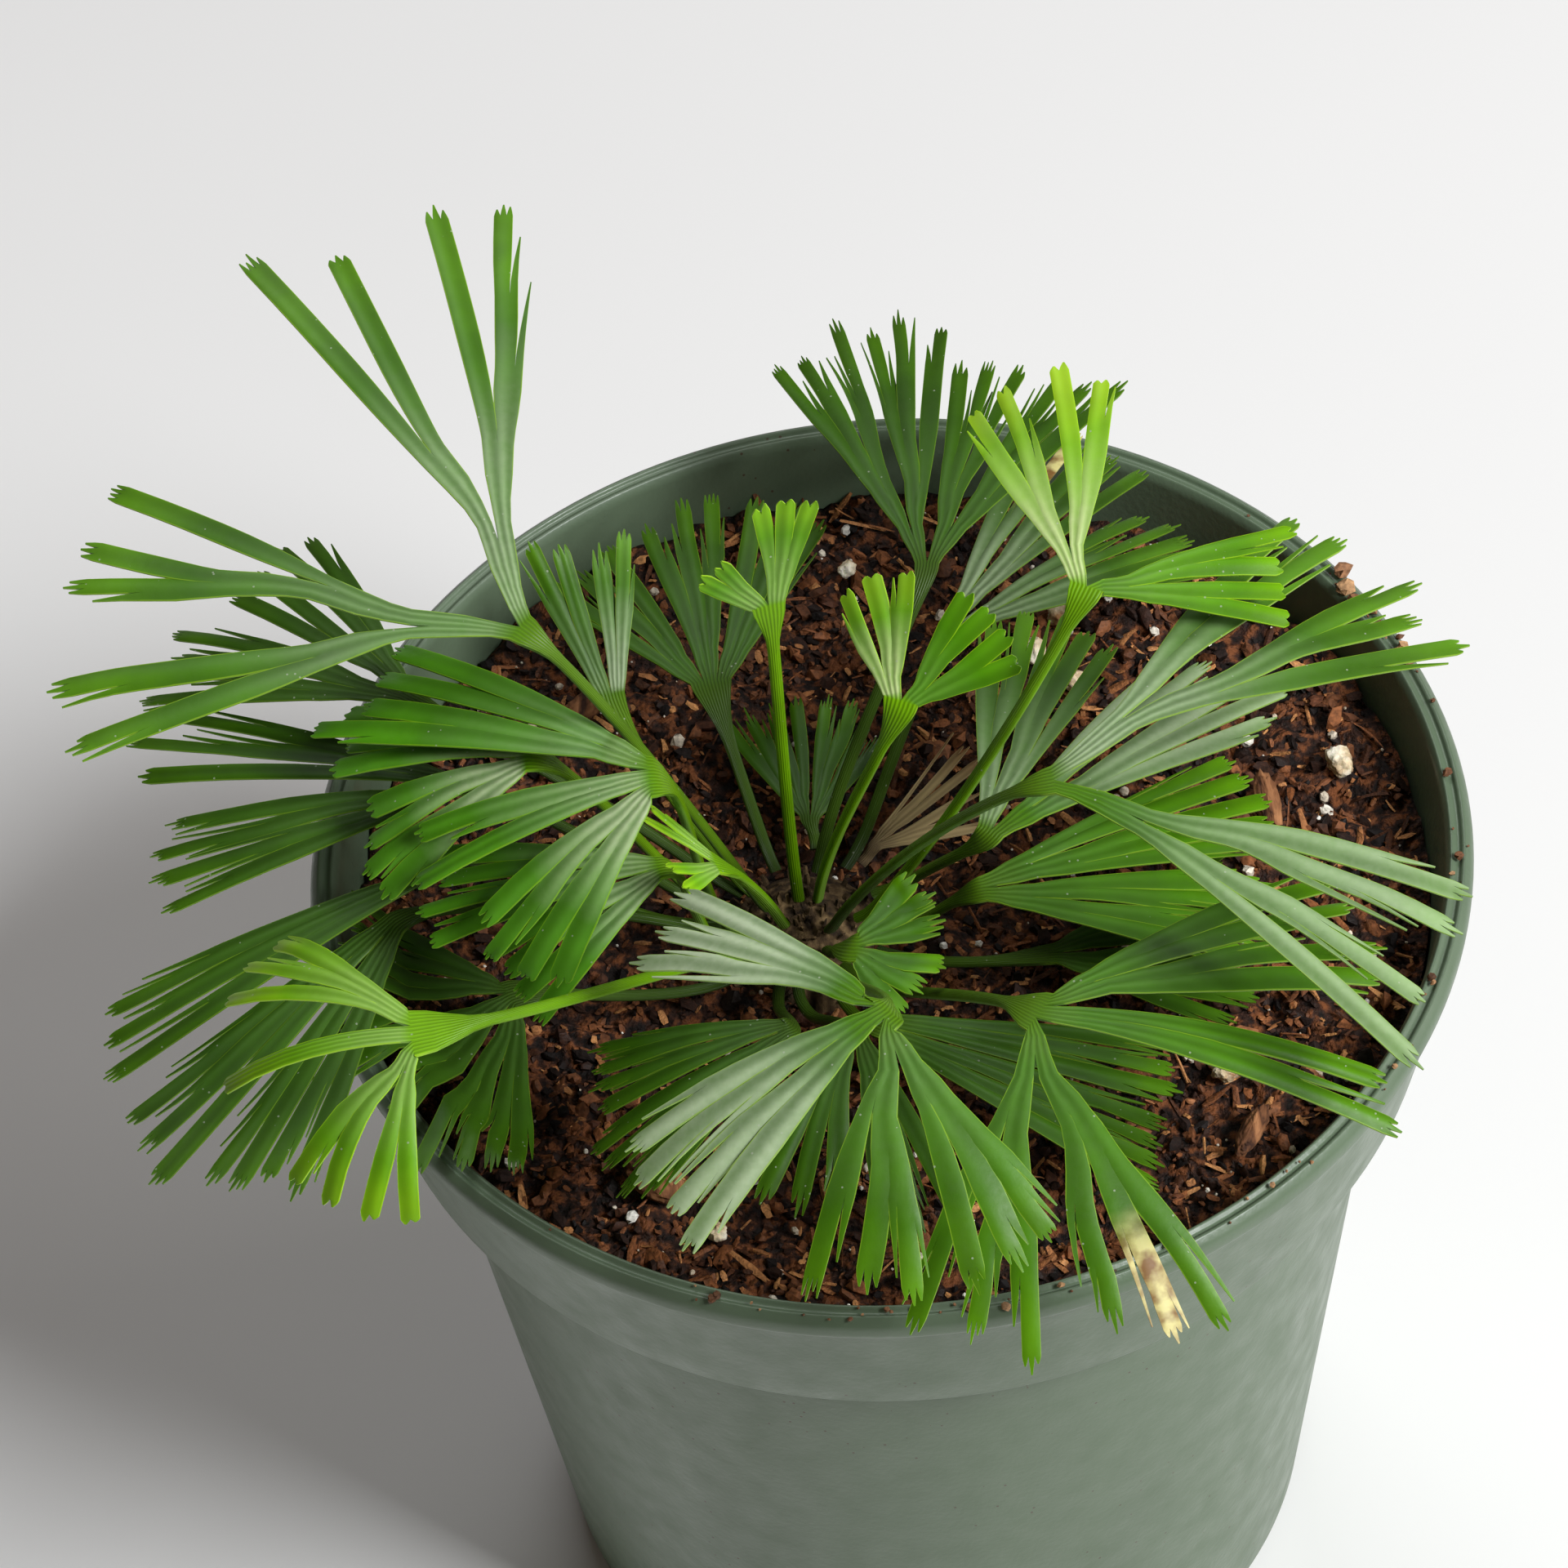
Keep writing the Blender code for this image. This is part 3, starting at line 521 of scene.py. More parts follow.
SHOULDER_Z = POT_HEIGHT - BAND_HEIGHT
BAND_TOP_RADIUS = RIM_RADIUS - LIP_ROUND
BAND_LOW_RADIUS = BAND_TOP_RADIUS - BAND_TAPER
BODY_TOP_RADIUS = BAND_LOW_RADIUS - LEDGE_WIDTH
BASE_RADIUS = BODY_TOP_RADIUS - BODY_TAPER
LIP_INNER_RADIUS = RIM_RADIUS - LIP_WIDTH


def rounded(points, radius, steps=4):
    """A line of corners with each inner corner rounded by an arc-like curve."""
    line = [Vector(points[0])]
    for before, corner, after in zip(points, points[1:], points[2:]):
        before, corner, after = Vector(before), Vector(corner), Vector(after)
        reach = min(radius, (before - corner).length * 0.45, (after - corner).length * 0.45)
        start = corner + (before - corner).normalized() * reach
        end = corner + (after - corner).normalized() * reach
        for step in range(steps + 1):
            t = step / steps
            line.append(start * (1 - t) ** 2 + corner * 2 * t * (1 - t) + end * t ** 2)
    return line + [Vector(points[-1])]


def split_long(line, longest):
    """Add points to a line so that no stretch is longer than that."""
    fine = [line[0]]
    for before, after in zip(line, line[1:]):
        steps = max(1, math.ceil((after - before).length / longest))
        fine += [before.lerp(after, step / steps) for step in range(1, steps + 1)]
    return fine


def pot_material():
    """Sage-green moulded plastic: satin, a little cloudy, with faint flow marks and dust."""
    material, tree, shader = new_material("pot_plastic", roughness=0.38, specular=0.42)
    cloud = noise_of(tree, 34.0, 4.0, places_of(tree, (1.0, 1.0, 0.35)))
    colour = ramp(tree, cloud, ((0.28, (0.102, 0.146, 0.090)), (0.72, (0.120, 0.168, 0.105))))
    flow = noise_of(tree, 90.0, 2.0, places_of(tree, (1.0, 1.0, 0.08)), 0.4)
    colour = mixed(tree, 0.5, colour, ramp(tree, flow, ((0.35, 0.86), (0.65, 1.0))), "MULTIPLY")
    dust = maths(tree, "LESS_THAN", cells_of(tree, 620.0), 0.085)
    patches = maths(tree, "GREATER_THAN", noise_of(tree, 60.0, 2.0), 0.56)
    dust = times(tree, dust, patches)
    colour = mixed(tree, dust, colour, (0.075, 0.050, 0.030))
    feed(tree, shader.inputs["Base Color"], colour)
    rough = ramp(tree, noise_of(tree, 260.0, 3.0), ((0.3, 0.30), (0.7, 0.46)))
    feed(tree, shader.inputs["Roughness"], rough)
    grain = plus(tree, noise_of(tree, 1500.0, 2.0), times(tree, flow, 2.0))
    bump(tree, shader, grain, 0.18, 0.0002)
    return material


def make_pot():
    """The pot turned finely, with rounded corners, a bead inside the lip and drained floor."""
    outer = [(0.0, 0.0), (BASE_RADIUS - BASE_ROUND, 0.0), (BASE_RADIUS, BASE_ROUND),
             (BODY_TOP_RADIUS, SHOULDER_Z - WALL), (BODY_TOP_RADIUS + WALL, SHOULDER_Z),
             (BAND_LOW_RADIUS, SHOULDER_Z), (BAND_TOP_RADIUS, POT_HEIGHT - LIP_HEIGHT - LIP_ROUND),
             (RIM_RADIUS, POT_HEIGHT - LIP_HEIGHT), (RIM_RADIUS, POT_HEIGHT - LIP_ROUND),
             (RIM_RADIUS - LIP_ROUND, POT_HEIGHT)]
    bead = [(RIM_RADIUS - LIP_WIDTH * 0.42, POT_HEIGHT - 0.12 * LIP_ROUND),
            (RIM_RADIUS - LIP_WIDTH * 0.50, POT_HEIGHT - 0.55 * LIP_ROUND),
            (RIM_RADIUS - LIP_WIDTH * 0.62, POT_HEIGHT - 0.55 * LIP_ROUND),
            (RIM_RADIUS - LIP_WIDTH * 0.80, POT_HEIGHT - 0.05 * LIP_ROUND)]
    inner = [(LIP_INNER_RADIUS, POT_HEIGHT - LIP_ROUND),
             (BAND_LOW_RADIUS - WALL, SHOULDER_Z + WALL),
             (BODY_TOP_RADIUS - WALL, SHOULDER_Z - WALL),
             (BASE_RADIUS - WALL, FLOOR), (0.0, FLOOR)]
    line = split_long(rounded(outer + bead + inner, POT_CORNER), POT_STATION)[1:-1]
    points = [Vector((0.0, 0.0, 0.0))]
    for spot in line:
        for step in range(POT_STEPS):
            points.append(heading(360.0 * step / POT_STEPS) * spot.x + UP * spot.y)
    points.append(UP * FLOOR)
    faces = capped_rings(0, POT_STEPS, len(line))
    pot = mesh_object("pot_shell", points, faces, pot_material())
    pot.data.set_sharp_from_angle(angle=math.radians(POT_SHARP))
    cut = pot.modifiers.new("drain_holes", "BOOLEAN")
    cut.operation = "DIFFERENCE"
    cutter = drain_cutter()
    cut.object = cutter
    settle(pot)
    bpy.data.objects.remove(cutter, do_unlink=True)
    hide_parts("pot")
    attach(pot, "root")


def drain_cutter():
    """Upright pins that cut the drainage holes through the floor."""
    points, faces = [], []
    for hole in range(DRAIN_HOLES):
        spot = heading(360.0 * hole / DRAIN_HOLES) * DRAIN_CIRCLE
        first = len(points)
        sides = 32
        for level in (-FLOOR, 2.0 * FLOOR):
            points += [spot + heading(360.0 * k / sides) * DRAIN_RADIUS + UP * level
                       for k in range(sides)]
        for k in range(sides):
            ahead = (k + 1) % sides
            faces.append((first + k, first + ahead, first + sides + ahead, first + sides + k))
        faces.append(tuple(first + k for k in range(sides))[::-1])
        faces.append(tuple(first + sides + k for k in range(sides)))
    cutter = mesh_object("drain_cutter", points, faces)
    cutter.hide_render = True
    return cutter


def settle(obj):
    """Apply an object's modifiers to its mesh."""
    graph = bpy.context.evaluated_depsgraph_get()
    made = bpy.data.meshes.new_from_object(obj.evaluated_get(graph))
    obj.modifiers.clear()
    obj.data = made


# --- Fronds ------------------------------------------------------------------------------------

# One strip of a blade: its angle in the wing, the angle that its side may turn from that, where it
# ends, its width there, the share of that width that it ends with, its cells across, the number of
# straps that it carries, and the strips that it forks into
Strip = namedtuple("Strip", "angle room end width close cells straps children")


def plan_strip(wing, forks, strap, edge, straps, low, high, level, chance, detail):
    """Share straps over the angles low to high: a strip forks in two until one strap is left."""
    angle, room = (low + high) / 2.0, (high - low) / 2.0
    if straps == 1:
        end = wing.length * (1.0 + chance.uniform(-LENGTH_SPREAD, LENGTH_SPREAD))
        start = wing.length * (forks[level - 1] if level else 0.0)
        return plan_strap(angle, room, start, end, strap, edge, detail)
    left = (straps + level % 2) // 2
    left = min(max(left, 1), straps - 1)
    split = high - (high - low) * left / straps
    children = (plan_strip(wing, forks, strap, edge, left, split, high, level + 1, chance, detail),
                plan_strip(wing, forks, strap, edge, straps - left, low, split, level + 1,
                           chance, detail))
    width = 2.0 * edge.waist * strap
    return Strip(angle, room, wing.length * forks[level], width, 1.0, CELLS, straps, children)


def plan_strap(angle, room, start, end, strap, edge, detail):
    """One strap: it sheds narrow teeth from its sides, and ends in a few more."""
    teeth = detail.choice(edge.tip_teeth)
    reach = detail.uniform(*edge.tooth)
    tip = []
    for tooth in range(teeth):
        aside = (0.5 - (tooth + 0.5) / teeth) * 2.0
        long = end if tooth == teeth // 2 else end - reach * detail.uniform(0.1, 0.6)
        tip.append(Strip(angle + aside * TIP_FAN, room, long, strap / teeth, TOOTH_CLOSE,
                         TOOTH_CELLS, 1.0 / teeth, ()))
    strip = Strip(angle, room, end - reach, strap * TIP_WIDTH_SHARE, 1.0, CELLS, 1.0,
                  tuple(tip) if teeth > 1 else ())
    if teeth == 1:
        strip = strip._replace(end=end, close=TOOTH_CLOSE)
    for _ in range(detail.choice(edge.side_teeth)):
        side = detail.choice((-1, 1))
        length = strip.end - start
        split = start + length * detail.uniform(0.45, 0.80)
        share = detail.uniform(0.26, 0.36)
        shed = Strip(angle + side * detail.uniform(2.5, 5.0), room,
                     split + (end - split) * detail.uniform(0.5, 0.85), strap * share, TOOTH_CLOSE,
                     TOOTH_CELLS, share, ())
        kept = strip._replace(angle=angle - side * 0.6, width=strip.width * (1.0 - 0.55 * share),
                              straps=1.0 - share)
        pair = (shed, kept) if side > 0 else (kept, shed)
        strip = Strip(angle, room, split, strap, 1.0, CELLS, 1.0, pair)
    return strip


def zip_rows(first, second):
    """Faces between two rows of points that may differ in number, both from left to right."""
    faces = []
    i = j = 0
    while i < len(first) - 1 or j < len(second) - 1:
        step_first = (i + 1) / (len(first) - 1) if i < len(first) - 1 else 2.0
        step_second = (j + 1) / (len(second) - 1) if j < len(second) - 1 else 2.0
        if abs(step_first - step_second) < 1e-9:
            faces.append((first[i], first[i + 1], second[j + 1], second[j]))
            i, j = i + 1, j + 1
        elif step_first < step_second:
            faces.append((first[i], first[i + 1], second[j]))
            i += 1
        else:
            faces.append((first[i], second[j + 1], second[j]))
            j += 1
    return faces


class Sheet:
    """The mid-surface of a frond: points with a normal, a thickness and leaf marks, and faces.

    The marks are the vein number across the blade, the place along it (-1 at the root, 0 at the
    fork, 1 at the tips), and 1 on an edge. The cover is how far the painted sheen, a pale painted
    highlight, reaches there, then how brown it is, or below 0 how far a young blade has turned
    green.
    """

    def __init__(self):
        self.points = []
        self.normals = []
        self.thickness = []
        self.marks = []
        self.sheen_and_tint = []
        self.cover = (0.0, 0.0)
        self.faces = []

    def add(self, point, normal, thickness, marks):
        """Keep a point, clear of the pot, and return its number."""
        self.points.append(clear_of_pot(point))
        self.normals.append(normal.normalized())
        self.thickness.append(thickness)
        self.marks.append(marks)
        self.sheen_and_tint.append(self.cover)
        return len(self.points) - 1

    def join(self, first, second):
        """Fill the strip of sheet between two rows of points."""
        self.faces += zip_rows(first, second)

    def solid(self):
        """Points, faces and marks of the sheet with its thickness: two skins and an edge wall."""
        count = len(self.points)
        upper = [p + n * t / 2.0 for p, n, t in zip(self.points, self.normals, self.thickness)]
        lower = [p - n * t / 2.0 for p, n, t in zip(self.points, self.normals, self.thickness)]
        edges = {(a, b) for face in self.faces for a, b in zip(face, face[1:] + face[:1])}
        faces = list(self.faces)
        faces += [tuple(i + count for i in face[::-1]) for face in self.faces]
        faces += [(b, a, a + count, b + count) for a, b in sorted(edges) if (b, a) not in edges]
        # Each point keeps its side, then its share of painted sheen and how brown or how green it
        # is
        under = [(side, *cover) for side in (0.0, 1.0) for cover in self.sheen_and_tint]
        return upper + lower, faces, self.marks * 2, under


def clear_of_pot(point):
    """Lift a point that would touch the mix or the rim, keeping what is above it above it."""
    out = math.hypot(point.x, point.y)
    inside = LIP_INNER_RADIUS - RIM_CLEARANCE - RIM_BLEND
    soil = SOIL_Z + SOIL_SWELL + SOIL_CLEARANCE
    rim = POT_HEIGHT + RIM_CLEARANCE
    share = min(max((out - inside) / RIM_BLEND, 0.0), 1.0)
    floor = soil + share * (rim - soil)
    height = point.z - floor
    if height >= SOFT_REACH:
        return point
    lifted = SOFT_REACH * math.exp((height - SOFT_REACH) / SOFT_REACH)
    return Vector((point.x, point.y, floor + lifted))


def wing_place(origin, ahead, side, normal, droop):
    """Where a flat point of the wing lies once its straps bend down with distance."""
    def place(x, y):
        out = math.hypot(x, y)
        bend = droop * out
        along = math.sin(bend) / droop if abs(bend) > 1e-6 else out
        sink = (1.0 - math.cos(bend)) / droop if abs(bend) > 1e-6 else 0.0
        direction = (ahead * x + side * y) / max(out, 1e-9)
        return (origin + direction * along - normal * sink,
                normal * math.cos(bend) + direction * math.sin(bend))
    return place


def swayed(place, start, angle, length, rise, twist):
    """The same place, for one strap that rises or sinks and twists a little with distance."""
    ahead = (math.cos(math.radians(angle)), math.sin(math.radians(angle)))

    def moved(x, y):
        point, normal = place(x, y)
        dx, dy = x - start[0], y - start[1]
        along = max(0.0, dx * ahead[0] + dy * ahead[1]) / length
        aside = dy * ahead[0] - dx * ahead[1]
        lifted = rise * along * along + aside * math.sin(twist * min(along, TWIST_END))
        return point + normal * lifted, normal
    return moved


class Blade:
    """Grows the strips of one wing onto a sheet."""

    def __init__(self, sheet, wing, cover, browns, detail):
        self.sheet = sheet
        self.length = wing.length * MM
        self.cover = cover
        self.browns = browns
        self.detail = detail
        self.straps = 0

    def row(self, place, middle, aside, width, cuts, veins, arch, thick, out):
        """One row of points across a strip, cut at the given shares of its width."""
        made = []
        for cut in cuts:
            offset = width * (0.5 - cut)
            point, normal = place(middle[0] + aside[0] * offset, middle[1] + aside[1] * offset)
            crown = arch * (1.0 - (2.0 * cut - 1.0) ** 2)
            border = 1.0 if cut in (0.0, 1.0) else 0.0
            thickness = EDGE_THICKNESS if border else thick
            vein = veins[0] + (veins[1] - veins[0]) * cut
            made.append(self.sheet.add(point + normal * crown, normal, thickness,
                                       (vein, out / self.length, border)))
        return made

    def grow(self, place, strip, row, start, before, width, veins):
        """Grow one strip from a row of points, then what it forks into."""
        if strip.straps == 1.0 and strip.cells == CELLS:
            self.sheet.cover = (self.cover[0], 1.0) if self.straps in self.browns else self.cover
            self.straps += 1
            rise = self.detail.uniform(-1.0, 1.0) * STRAP_RISE_SHARE * self.length
            twist = math.radians(self.detail.uniform(-STRAP_TWIST, STRAP_TWIST))
            place = swayed(place, start, strip.angle, self.length, rise, twist)
        angle = math.radians(strip.angle)
        reach = math.hypot(*start)
        length = max(strip.end * MM - reach, SHORTEST_STRIP)
        goal = (start[0] + math.cos(angle) * length, start[1] + math.sin(angle) * length)
        pull = min(length * 0.35, FORK_REACH)
        bend = (start[0] + math.cos(before) * pull, start[1] + math.sin(before) * pull)
        steps = max(2, math.ceil(length / STATION))
        end_width = strip.width * MM * strip.close
        full = max(strip.width * MM, width)
        flare = 2.0 * ROOM_SHARE * math.tan(math.radians(strip.room))
        shares = [child.straps for child in strip.children]
        total = sum(shares)
        for step in range(1, steps + 1):
            t = step / steps
            middle = tuple(start[k] * (1 - t) ** 2 + bend[k] * 2 * t * (1 - t) + goal[k] * t * t
                           for k in (0, 1))
            run = tuple((bend[k] - start[k]) * (1 - t) + (goal[k] - bend[k]) * t for k in (0, 1))
            size = max(math.hypot(*run), 1e-9)
            aside = (-run[1] / size, run[0] / size)
            if strip.close < 1.0:
                wide = width + (end_width - width) * t ** 1.6
            elif strip.children and strip.straps > 1.0:
                wide = width + (end_width - width) * smooth_step((t - 0.25) / 0.75)
            else:
                wide = (width + (full - width) * smooth_step(t / 0.7)
                        + (end_width - full) * smooth_step(t - 0.7))
            wide = min(wide, width + flare * length * t ** 1.25)
            last = step == steps
            cuts = [cell / strip.cells for cell in range(strip.cells + 1)]
            if last and strip.children:
                cuts = self.fork_cuts(strip.children, shares, total)
            arch = ARCH * wide * (0.4 if strip.straps > 1.0 else 1.0)
            thick = BLADE_THICKNESS if strip.close == 1.0 else EDGE_THICKNESS
            fresh = self.row(place, middle, aside, wide, cuts, veins, arch, thick,
                             reach + length * t)
            self.sheet.join(row, fresh)
            row = fresh
        at = 0
        low = 0.0
        heading_now = math.atan2(goal[1] - bend[1], goal[0] - bend[0])
        for child, share in zip(strip.children, shares):
            high = low + share / total
            offset = wide * (0.5 - (low + high) / 2.0)
            begin = (middle[0] + aside[0] * offset, middle[1] + aside[1] * offset)
            part = (veins[0] + (veins[1] - veins[0]) * low, veins[0] + (veins[1] - veins[0]) * high)
            self.grow(place, child, row[at:at + child.cells + 1], begin, heading_now,
                      wide * share / total, part)
            at += child.cells
            low = high

    def fork_cuts(self, children, shares, total):
        """Where a row is cut so that each child strip finds its own cells."""
        cuts = [0.0]
        for child, share in zip(children, shares):
            low = cuts[-1]
            cuts += [low + share / total * cell / child.cells for cell in range(1, child.cells + 1)]
        cuts[-1] = 1.0
        return cuts


def hermite(start, end, leave, arrive, t):
    """A point on a smooth curve between two points, and its direction there."""
    a, b = 2.0 * t ** 3 - 3.0 * t ** 2 + 1.0, t ** 3 - 2.0 * t ** 2 + t
    c, d = -2.0 * t ** 3 + 3.0 * t ** 2, t ** 3 - t ** 2
    point = start * a + leave * b + end * c + arrive * d
    da, db = 6.0 * t ** 2 - 6.0 * t, 3.0 * t ** 2 - 4.0 * t + 1.0
    dc, dd = -da, 3.0 * t ** 2 - 2.0 * t
    return point, (start * da + leave * db + end * dc + arrive * dd).normalized()


def make_stipe(sheet, frond, fork, ahead, side, strap):
    """The stipe: round at its foot, flat where the blade begins. Returns its last row."""
    leave = heading(frond.root[0], 90.0 - frond.root[1])
    root = CROWN + leave * (CROWN_RADIUS + RECESS_GAP)
    chord = (fork - root).length
    start_pull, end_pull = leave * chord * STIPE_PULL, ahead * chord * frond.approach
    root_side = UP.cross(fork - root).normalized()
    if root_side.dot(side) < 0.0:
        root_side = -root_side
    fork_width = len(frond.wings) * NECK_SHARE * strap
    wedge = min(WEDGE_LENGTH / chord, 0.5)
    row = None
    for step in range(STIPE_ROWS + 1):
        t = step / STIPE_ROWS
        point, tangent = hermite(root, fork, start_pull, end_pull, t)
        across = root_side.lerp(side, t * t)
        across = (across - tangent * across.dot(tangent)).normalized()
        flat = smooth_step((t - 1.0 + wedge) / wedge)
        wide = STIPE_WIDTH + (fork_width - STIPE_WIDTH) * flat ** 1.3
        thick = STIPE_THICKNESS + (BLADE_THICKNESS - STIPE_THICKNESS) * flat
        cells = len(frond.wings) * CELLS if flat > 0.0 else CELLS
        fresh = []
        for cell in range(cells + 1):
            even = cell / cells
            turned = 0.5 - 0.5 * math.cos(math.pi * even)
            cut = turned + (even - turned) * flat
            full = math.sqrt(max(0.06, 1.0 - (2.0 * cut - 1.0) ** 2))
            body = thick * (full + (1.0 - full) * flat)
            border = 1.0 if cell in (0, cells) else 0.0
            groove = -0.12 * thick * (1.0 - abs(2.0 * cut - 1.0)) * (1.0 - flat)
            normal = tangent.cross(across)
            spot = point + across * wide * (0.5 - cut) + normal * groove
            vein = even * len(frond.wings) * VEINS_PER_STRAP
            fresh.append(sheet.add(spot, normal, body, (vein, t - 1.0, border * flat)))
        if row:
            sheet.join(row, fresh)
        row = fresh
    return row, fork_width


def make_frond(frond, materials):
    """A stipe that widens into a forked blade, grown as one piece."""
    sheet = Sheet()
    chance, detail = random.Random(frond.name), random.Random("detail of " + frond.name)
    edge = EDGES[frond.look]
    strap = frond.strap * MM
    fork = Vector(frond.fork) * MM + UP * POT_HEIGHT
    ahead = heading(frond.heading, frond.pitch)
    side = Matrix.Rotation(math.radians(frond.bank), 3, ahead) @ UP.cross(ahead).normalized()
    normal = ahead.cross(side)
    row, fork_width = make_stipe(sheet, frond, fork, ahead, side, strap)
    wings = sorted(frond.wings, key=lambda wing: -wing.turn)
    # How far the painted sheen, a pale painted highlight, covers each wing
    painted_sheens = PAINTED_SHEEN.get(frond.name, (USUAL_PAINTED_SHEEN[frond.look],) * len(wings))
    greens = GREENED.get(frond.name, (0.0,) * len(wings))
    for number, wing in enumerate(wings):
        offset = fork_width * (0.5 - (number + 0.5) / len(wings))
        spin = Matrix.Rotation(math.radians(wing.turn), 3, normal)
        wing_side = spin @ side
        rise = Matrix.Rotation(-math.radians(wing.lift), 3, wing_side)
        droop = math.radians(frond.droop) / (wing.length * MM)
        place = wing_place(fork + side * offset, rise @ spin @ ahead, wing_side,
                           rise @ normal, droop)
        half = wing.spread / 2.0
        strip = plan_strip(wing, frond.forks, frond.strap * edge.full, edge, wing.straps,
                           -half, half, 0, chance, detail)
        browns = {strap for place, strap in BROWN.get(frond.name, ()) if place == number}
        # This wing's share of painted sheen, then how far it has turned green
        cover = (painted_sheens[number], -greens[number])
        blade = Blade(sheet, wing, cover, browns, detail)
        sheet.cover = cover
        first = number * CELLS
        veins = (first / CELLS * VEINS_PER_STRAP, (first / CELLS + 1) * VEINS_PER_STRAP)
        before = math.radians(-wing.turn * FORK_LEAN)
        blade.grow(place, strip, row[first:first + CELLS + 1], (0.0, 0.0), before,
                   fork_width / len(wings), veins)
    points, faces, marks, under = sheet.solid()
    name = frond.name.replace("frond", "blade")
    blade = mesh_object(name, points, faces, materials[frond.look])
    blade.data.set_sharp_from_angle(angle=math.radians(LEAF_SHARP))
    keep_vectors(blade.data, "leaf", marks)
    keep_vectors(blade.data, "under", under)
    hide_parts(frond.name)
    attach(blade, "root")


def leaf_material(look):
    """Leaf: fine veins along the straps, a pale painted sheen (painted highlight) from the fork on
    or towards the tips, a thin light margin.
    """
    leaf = LEAVES[look]
    material, tree, shader = new_material("leaf_" + look, specular=0.22, subsurface=0.05)
    vein, along, border = attribute_of(tree, "leaf")
    # The side, the share of painted sheen (painted highlight), and how brown or how green the strap
    # is
    under, painted_sheen, brown = attribute_of(tree, "under")
    patch = noise_of(tree, 130.0, 3.0)
    fine = noise_of(tree, 1400.0, 3.0)
    wave = maths(tree, "SINE", times(tree, vein, 2.0 * math.pi))
    shift = times(tree, maths(tree, "SUBTRACT", patch, 0.5), 0.10)
    place = plus(tree, times(tree, plus(tree, along, 1.0), 0.5), shift)
    foot = [part * 0.45 for part in leaf.stipe]
    colour = ramp(tree, place, ((0.0, foot), (0.12, leaf.stipe), (0.46, leaf.stipe),
                                (0.58, leaf.strap), (0.86, leaf.strap), (0.97, leaf.tip)))
    if look == "young":
        aged = times(tree, brown, -1.0, True)
        colour = mixed(tree, aged, colour, LEAVES["glossy"].strap)
    tone = ramp(tree, patch, ((0.3, 0.80), (0.7, 1.16)))
    colour = mixed(tree, 1.0, colour, tone, "MULTIPLY")
    # Painted sheen: the pale fork colour laid in streaks from the fork on, or towards the tips, in
    # place of a highlight
    streak = plus(tree, times(tree, wave, 0.22), times(tree, fine, 0.5))
    from_fork = ramp(tree, place, ((0.44, 0.0), (0.54, 1.0), (0.68, 0.75), (0.86, 0.06)))
    from_tip = ramp(tree, place, ((0.56, 0.0), (0.72, 0.8), (0.86, 1.0)))
    near = times(tree, from_fork, maths(tree, "MAXIMUM", painted_sheen, 0.0))
    far = times(tree, from_tip, maths(tree, "MAXIMUM", times(tree, painted_sheen, -1.0), 0.0))
    cover = plus(tree, near, far)
    cover = times(tree, cover, plus(tree, streak, 0.62), True)
    colour = mixed(tree, cover, colour, leaf.fork)
    lines = plus(tree, times(tree, wave, 0.13), 0.91)
    colour = mixed(tree, 1.0, colour, lines, "MULTIPLY")
    colour = mixed(tree, ramp(tree, border, ((0.80, 0.0), (0.97, 0.70))), colour, leaf.margin)
    specks = maths(tree, "LESS_THAN", cells_of(tree, 900.0), 0.09)
    patches = maths(tree, "GREATER_THAN", noise_of(tree, 240.0, 1.0), 0.52)
    specks = times(tree, specks, patches)
    colour = mixed(tree, times(tree, specks, 0.5), colour, (0.42, 0.46, 0.36))
    end = ramp(tree, place, ((0.80, 0.0), (0.90, 1.0)))
    burnt = times(tree, maths(tree, "MAXIMUM", brown, 0.0), end)
    scorch = ramp(tree, noise_of(tree, 500.0, 3.0),
                  ((0.35, (0.20, 0.10, 0.03)), (0.6, (0.62, 0.55, 0.22))))
    colour = mixed(tree, burnt, colour, scorch)
    pale = tuple(0.7 * c + 0.3 * d for c, d in zip(leaf.strap, leaf.fork))
    colour = mixed(tree, times(tree, under, 0.4), colour, pale)
    feed(tree, shader.inputs["Base Color"], colour)
    rough = plus(tree, leaf.roughness - 0.09, times(tree, fine, 0.20))
    feed(tree, shader.inputs["Roughness"], rough)
    height = plus(tree, times(tree, wave, 0.5), times(tree, fine, 0.35))
    bump(tree, shader, height, 0.45, 0.00012)
    return material


def make_fronds():
    """Every frond, with one material for each look."""
    materials = {look: leaf_material(look) for look in LEAVES}
    for frond in FRONDS:
        make_frond(frond, materials)


# --- Potting mix -------------------------------------------------------------------------------

SOIL_RING = 0.0009
SOIL_GAP = 0.0003
SOIL_SIDE_GAP = 0.0004
SOIL_EDGE_SHARE = 0.42
SOIL_SIDE_STEPS = 96
CRUMB_SINK, CRUMB_HEIGHT, CLOD_HEIGHT = 0.0006, 0.0014, 0.0009
LITTER_RADIUS, CHIP_RADIUS = 0.0492, 0.048
CRUMBS, FIBRES, CHIPS, SPECKS, RIM_CRUMBS = 5600, 2300, 260, 300, 70
SCALES = 160
BOTTOM_RADIUS = BASE_RADIUS - WALL - SOIL_GAP


def soil_height(x, y):
    """The height of the model's smooth surface of the potting mix."""
    waves = (share * math.sin(along * x + start) * math.sin(across * y + turn)
             for share, along, start, across, turn in SOIL_WAVES)
    return SOIL_Z + SOIL_SWELL * sum(waves)


def crumbly(x, y):
    """The height of the crumbly surface."""
    spot = Vector((x, y, 0.0))
    crumbs = noise.fractal(spot * 260.0, 0.8, 2.1, 4)
    clods = noise.fractal(spot * 95.0, 1.0, 2.0, 2)
    return soil_height(x, y) - CRUMB_SINK + CRUMB_HEIGHT * crumbs + CLOD_HEIGHT * clods


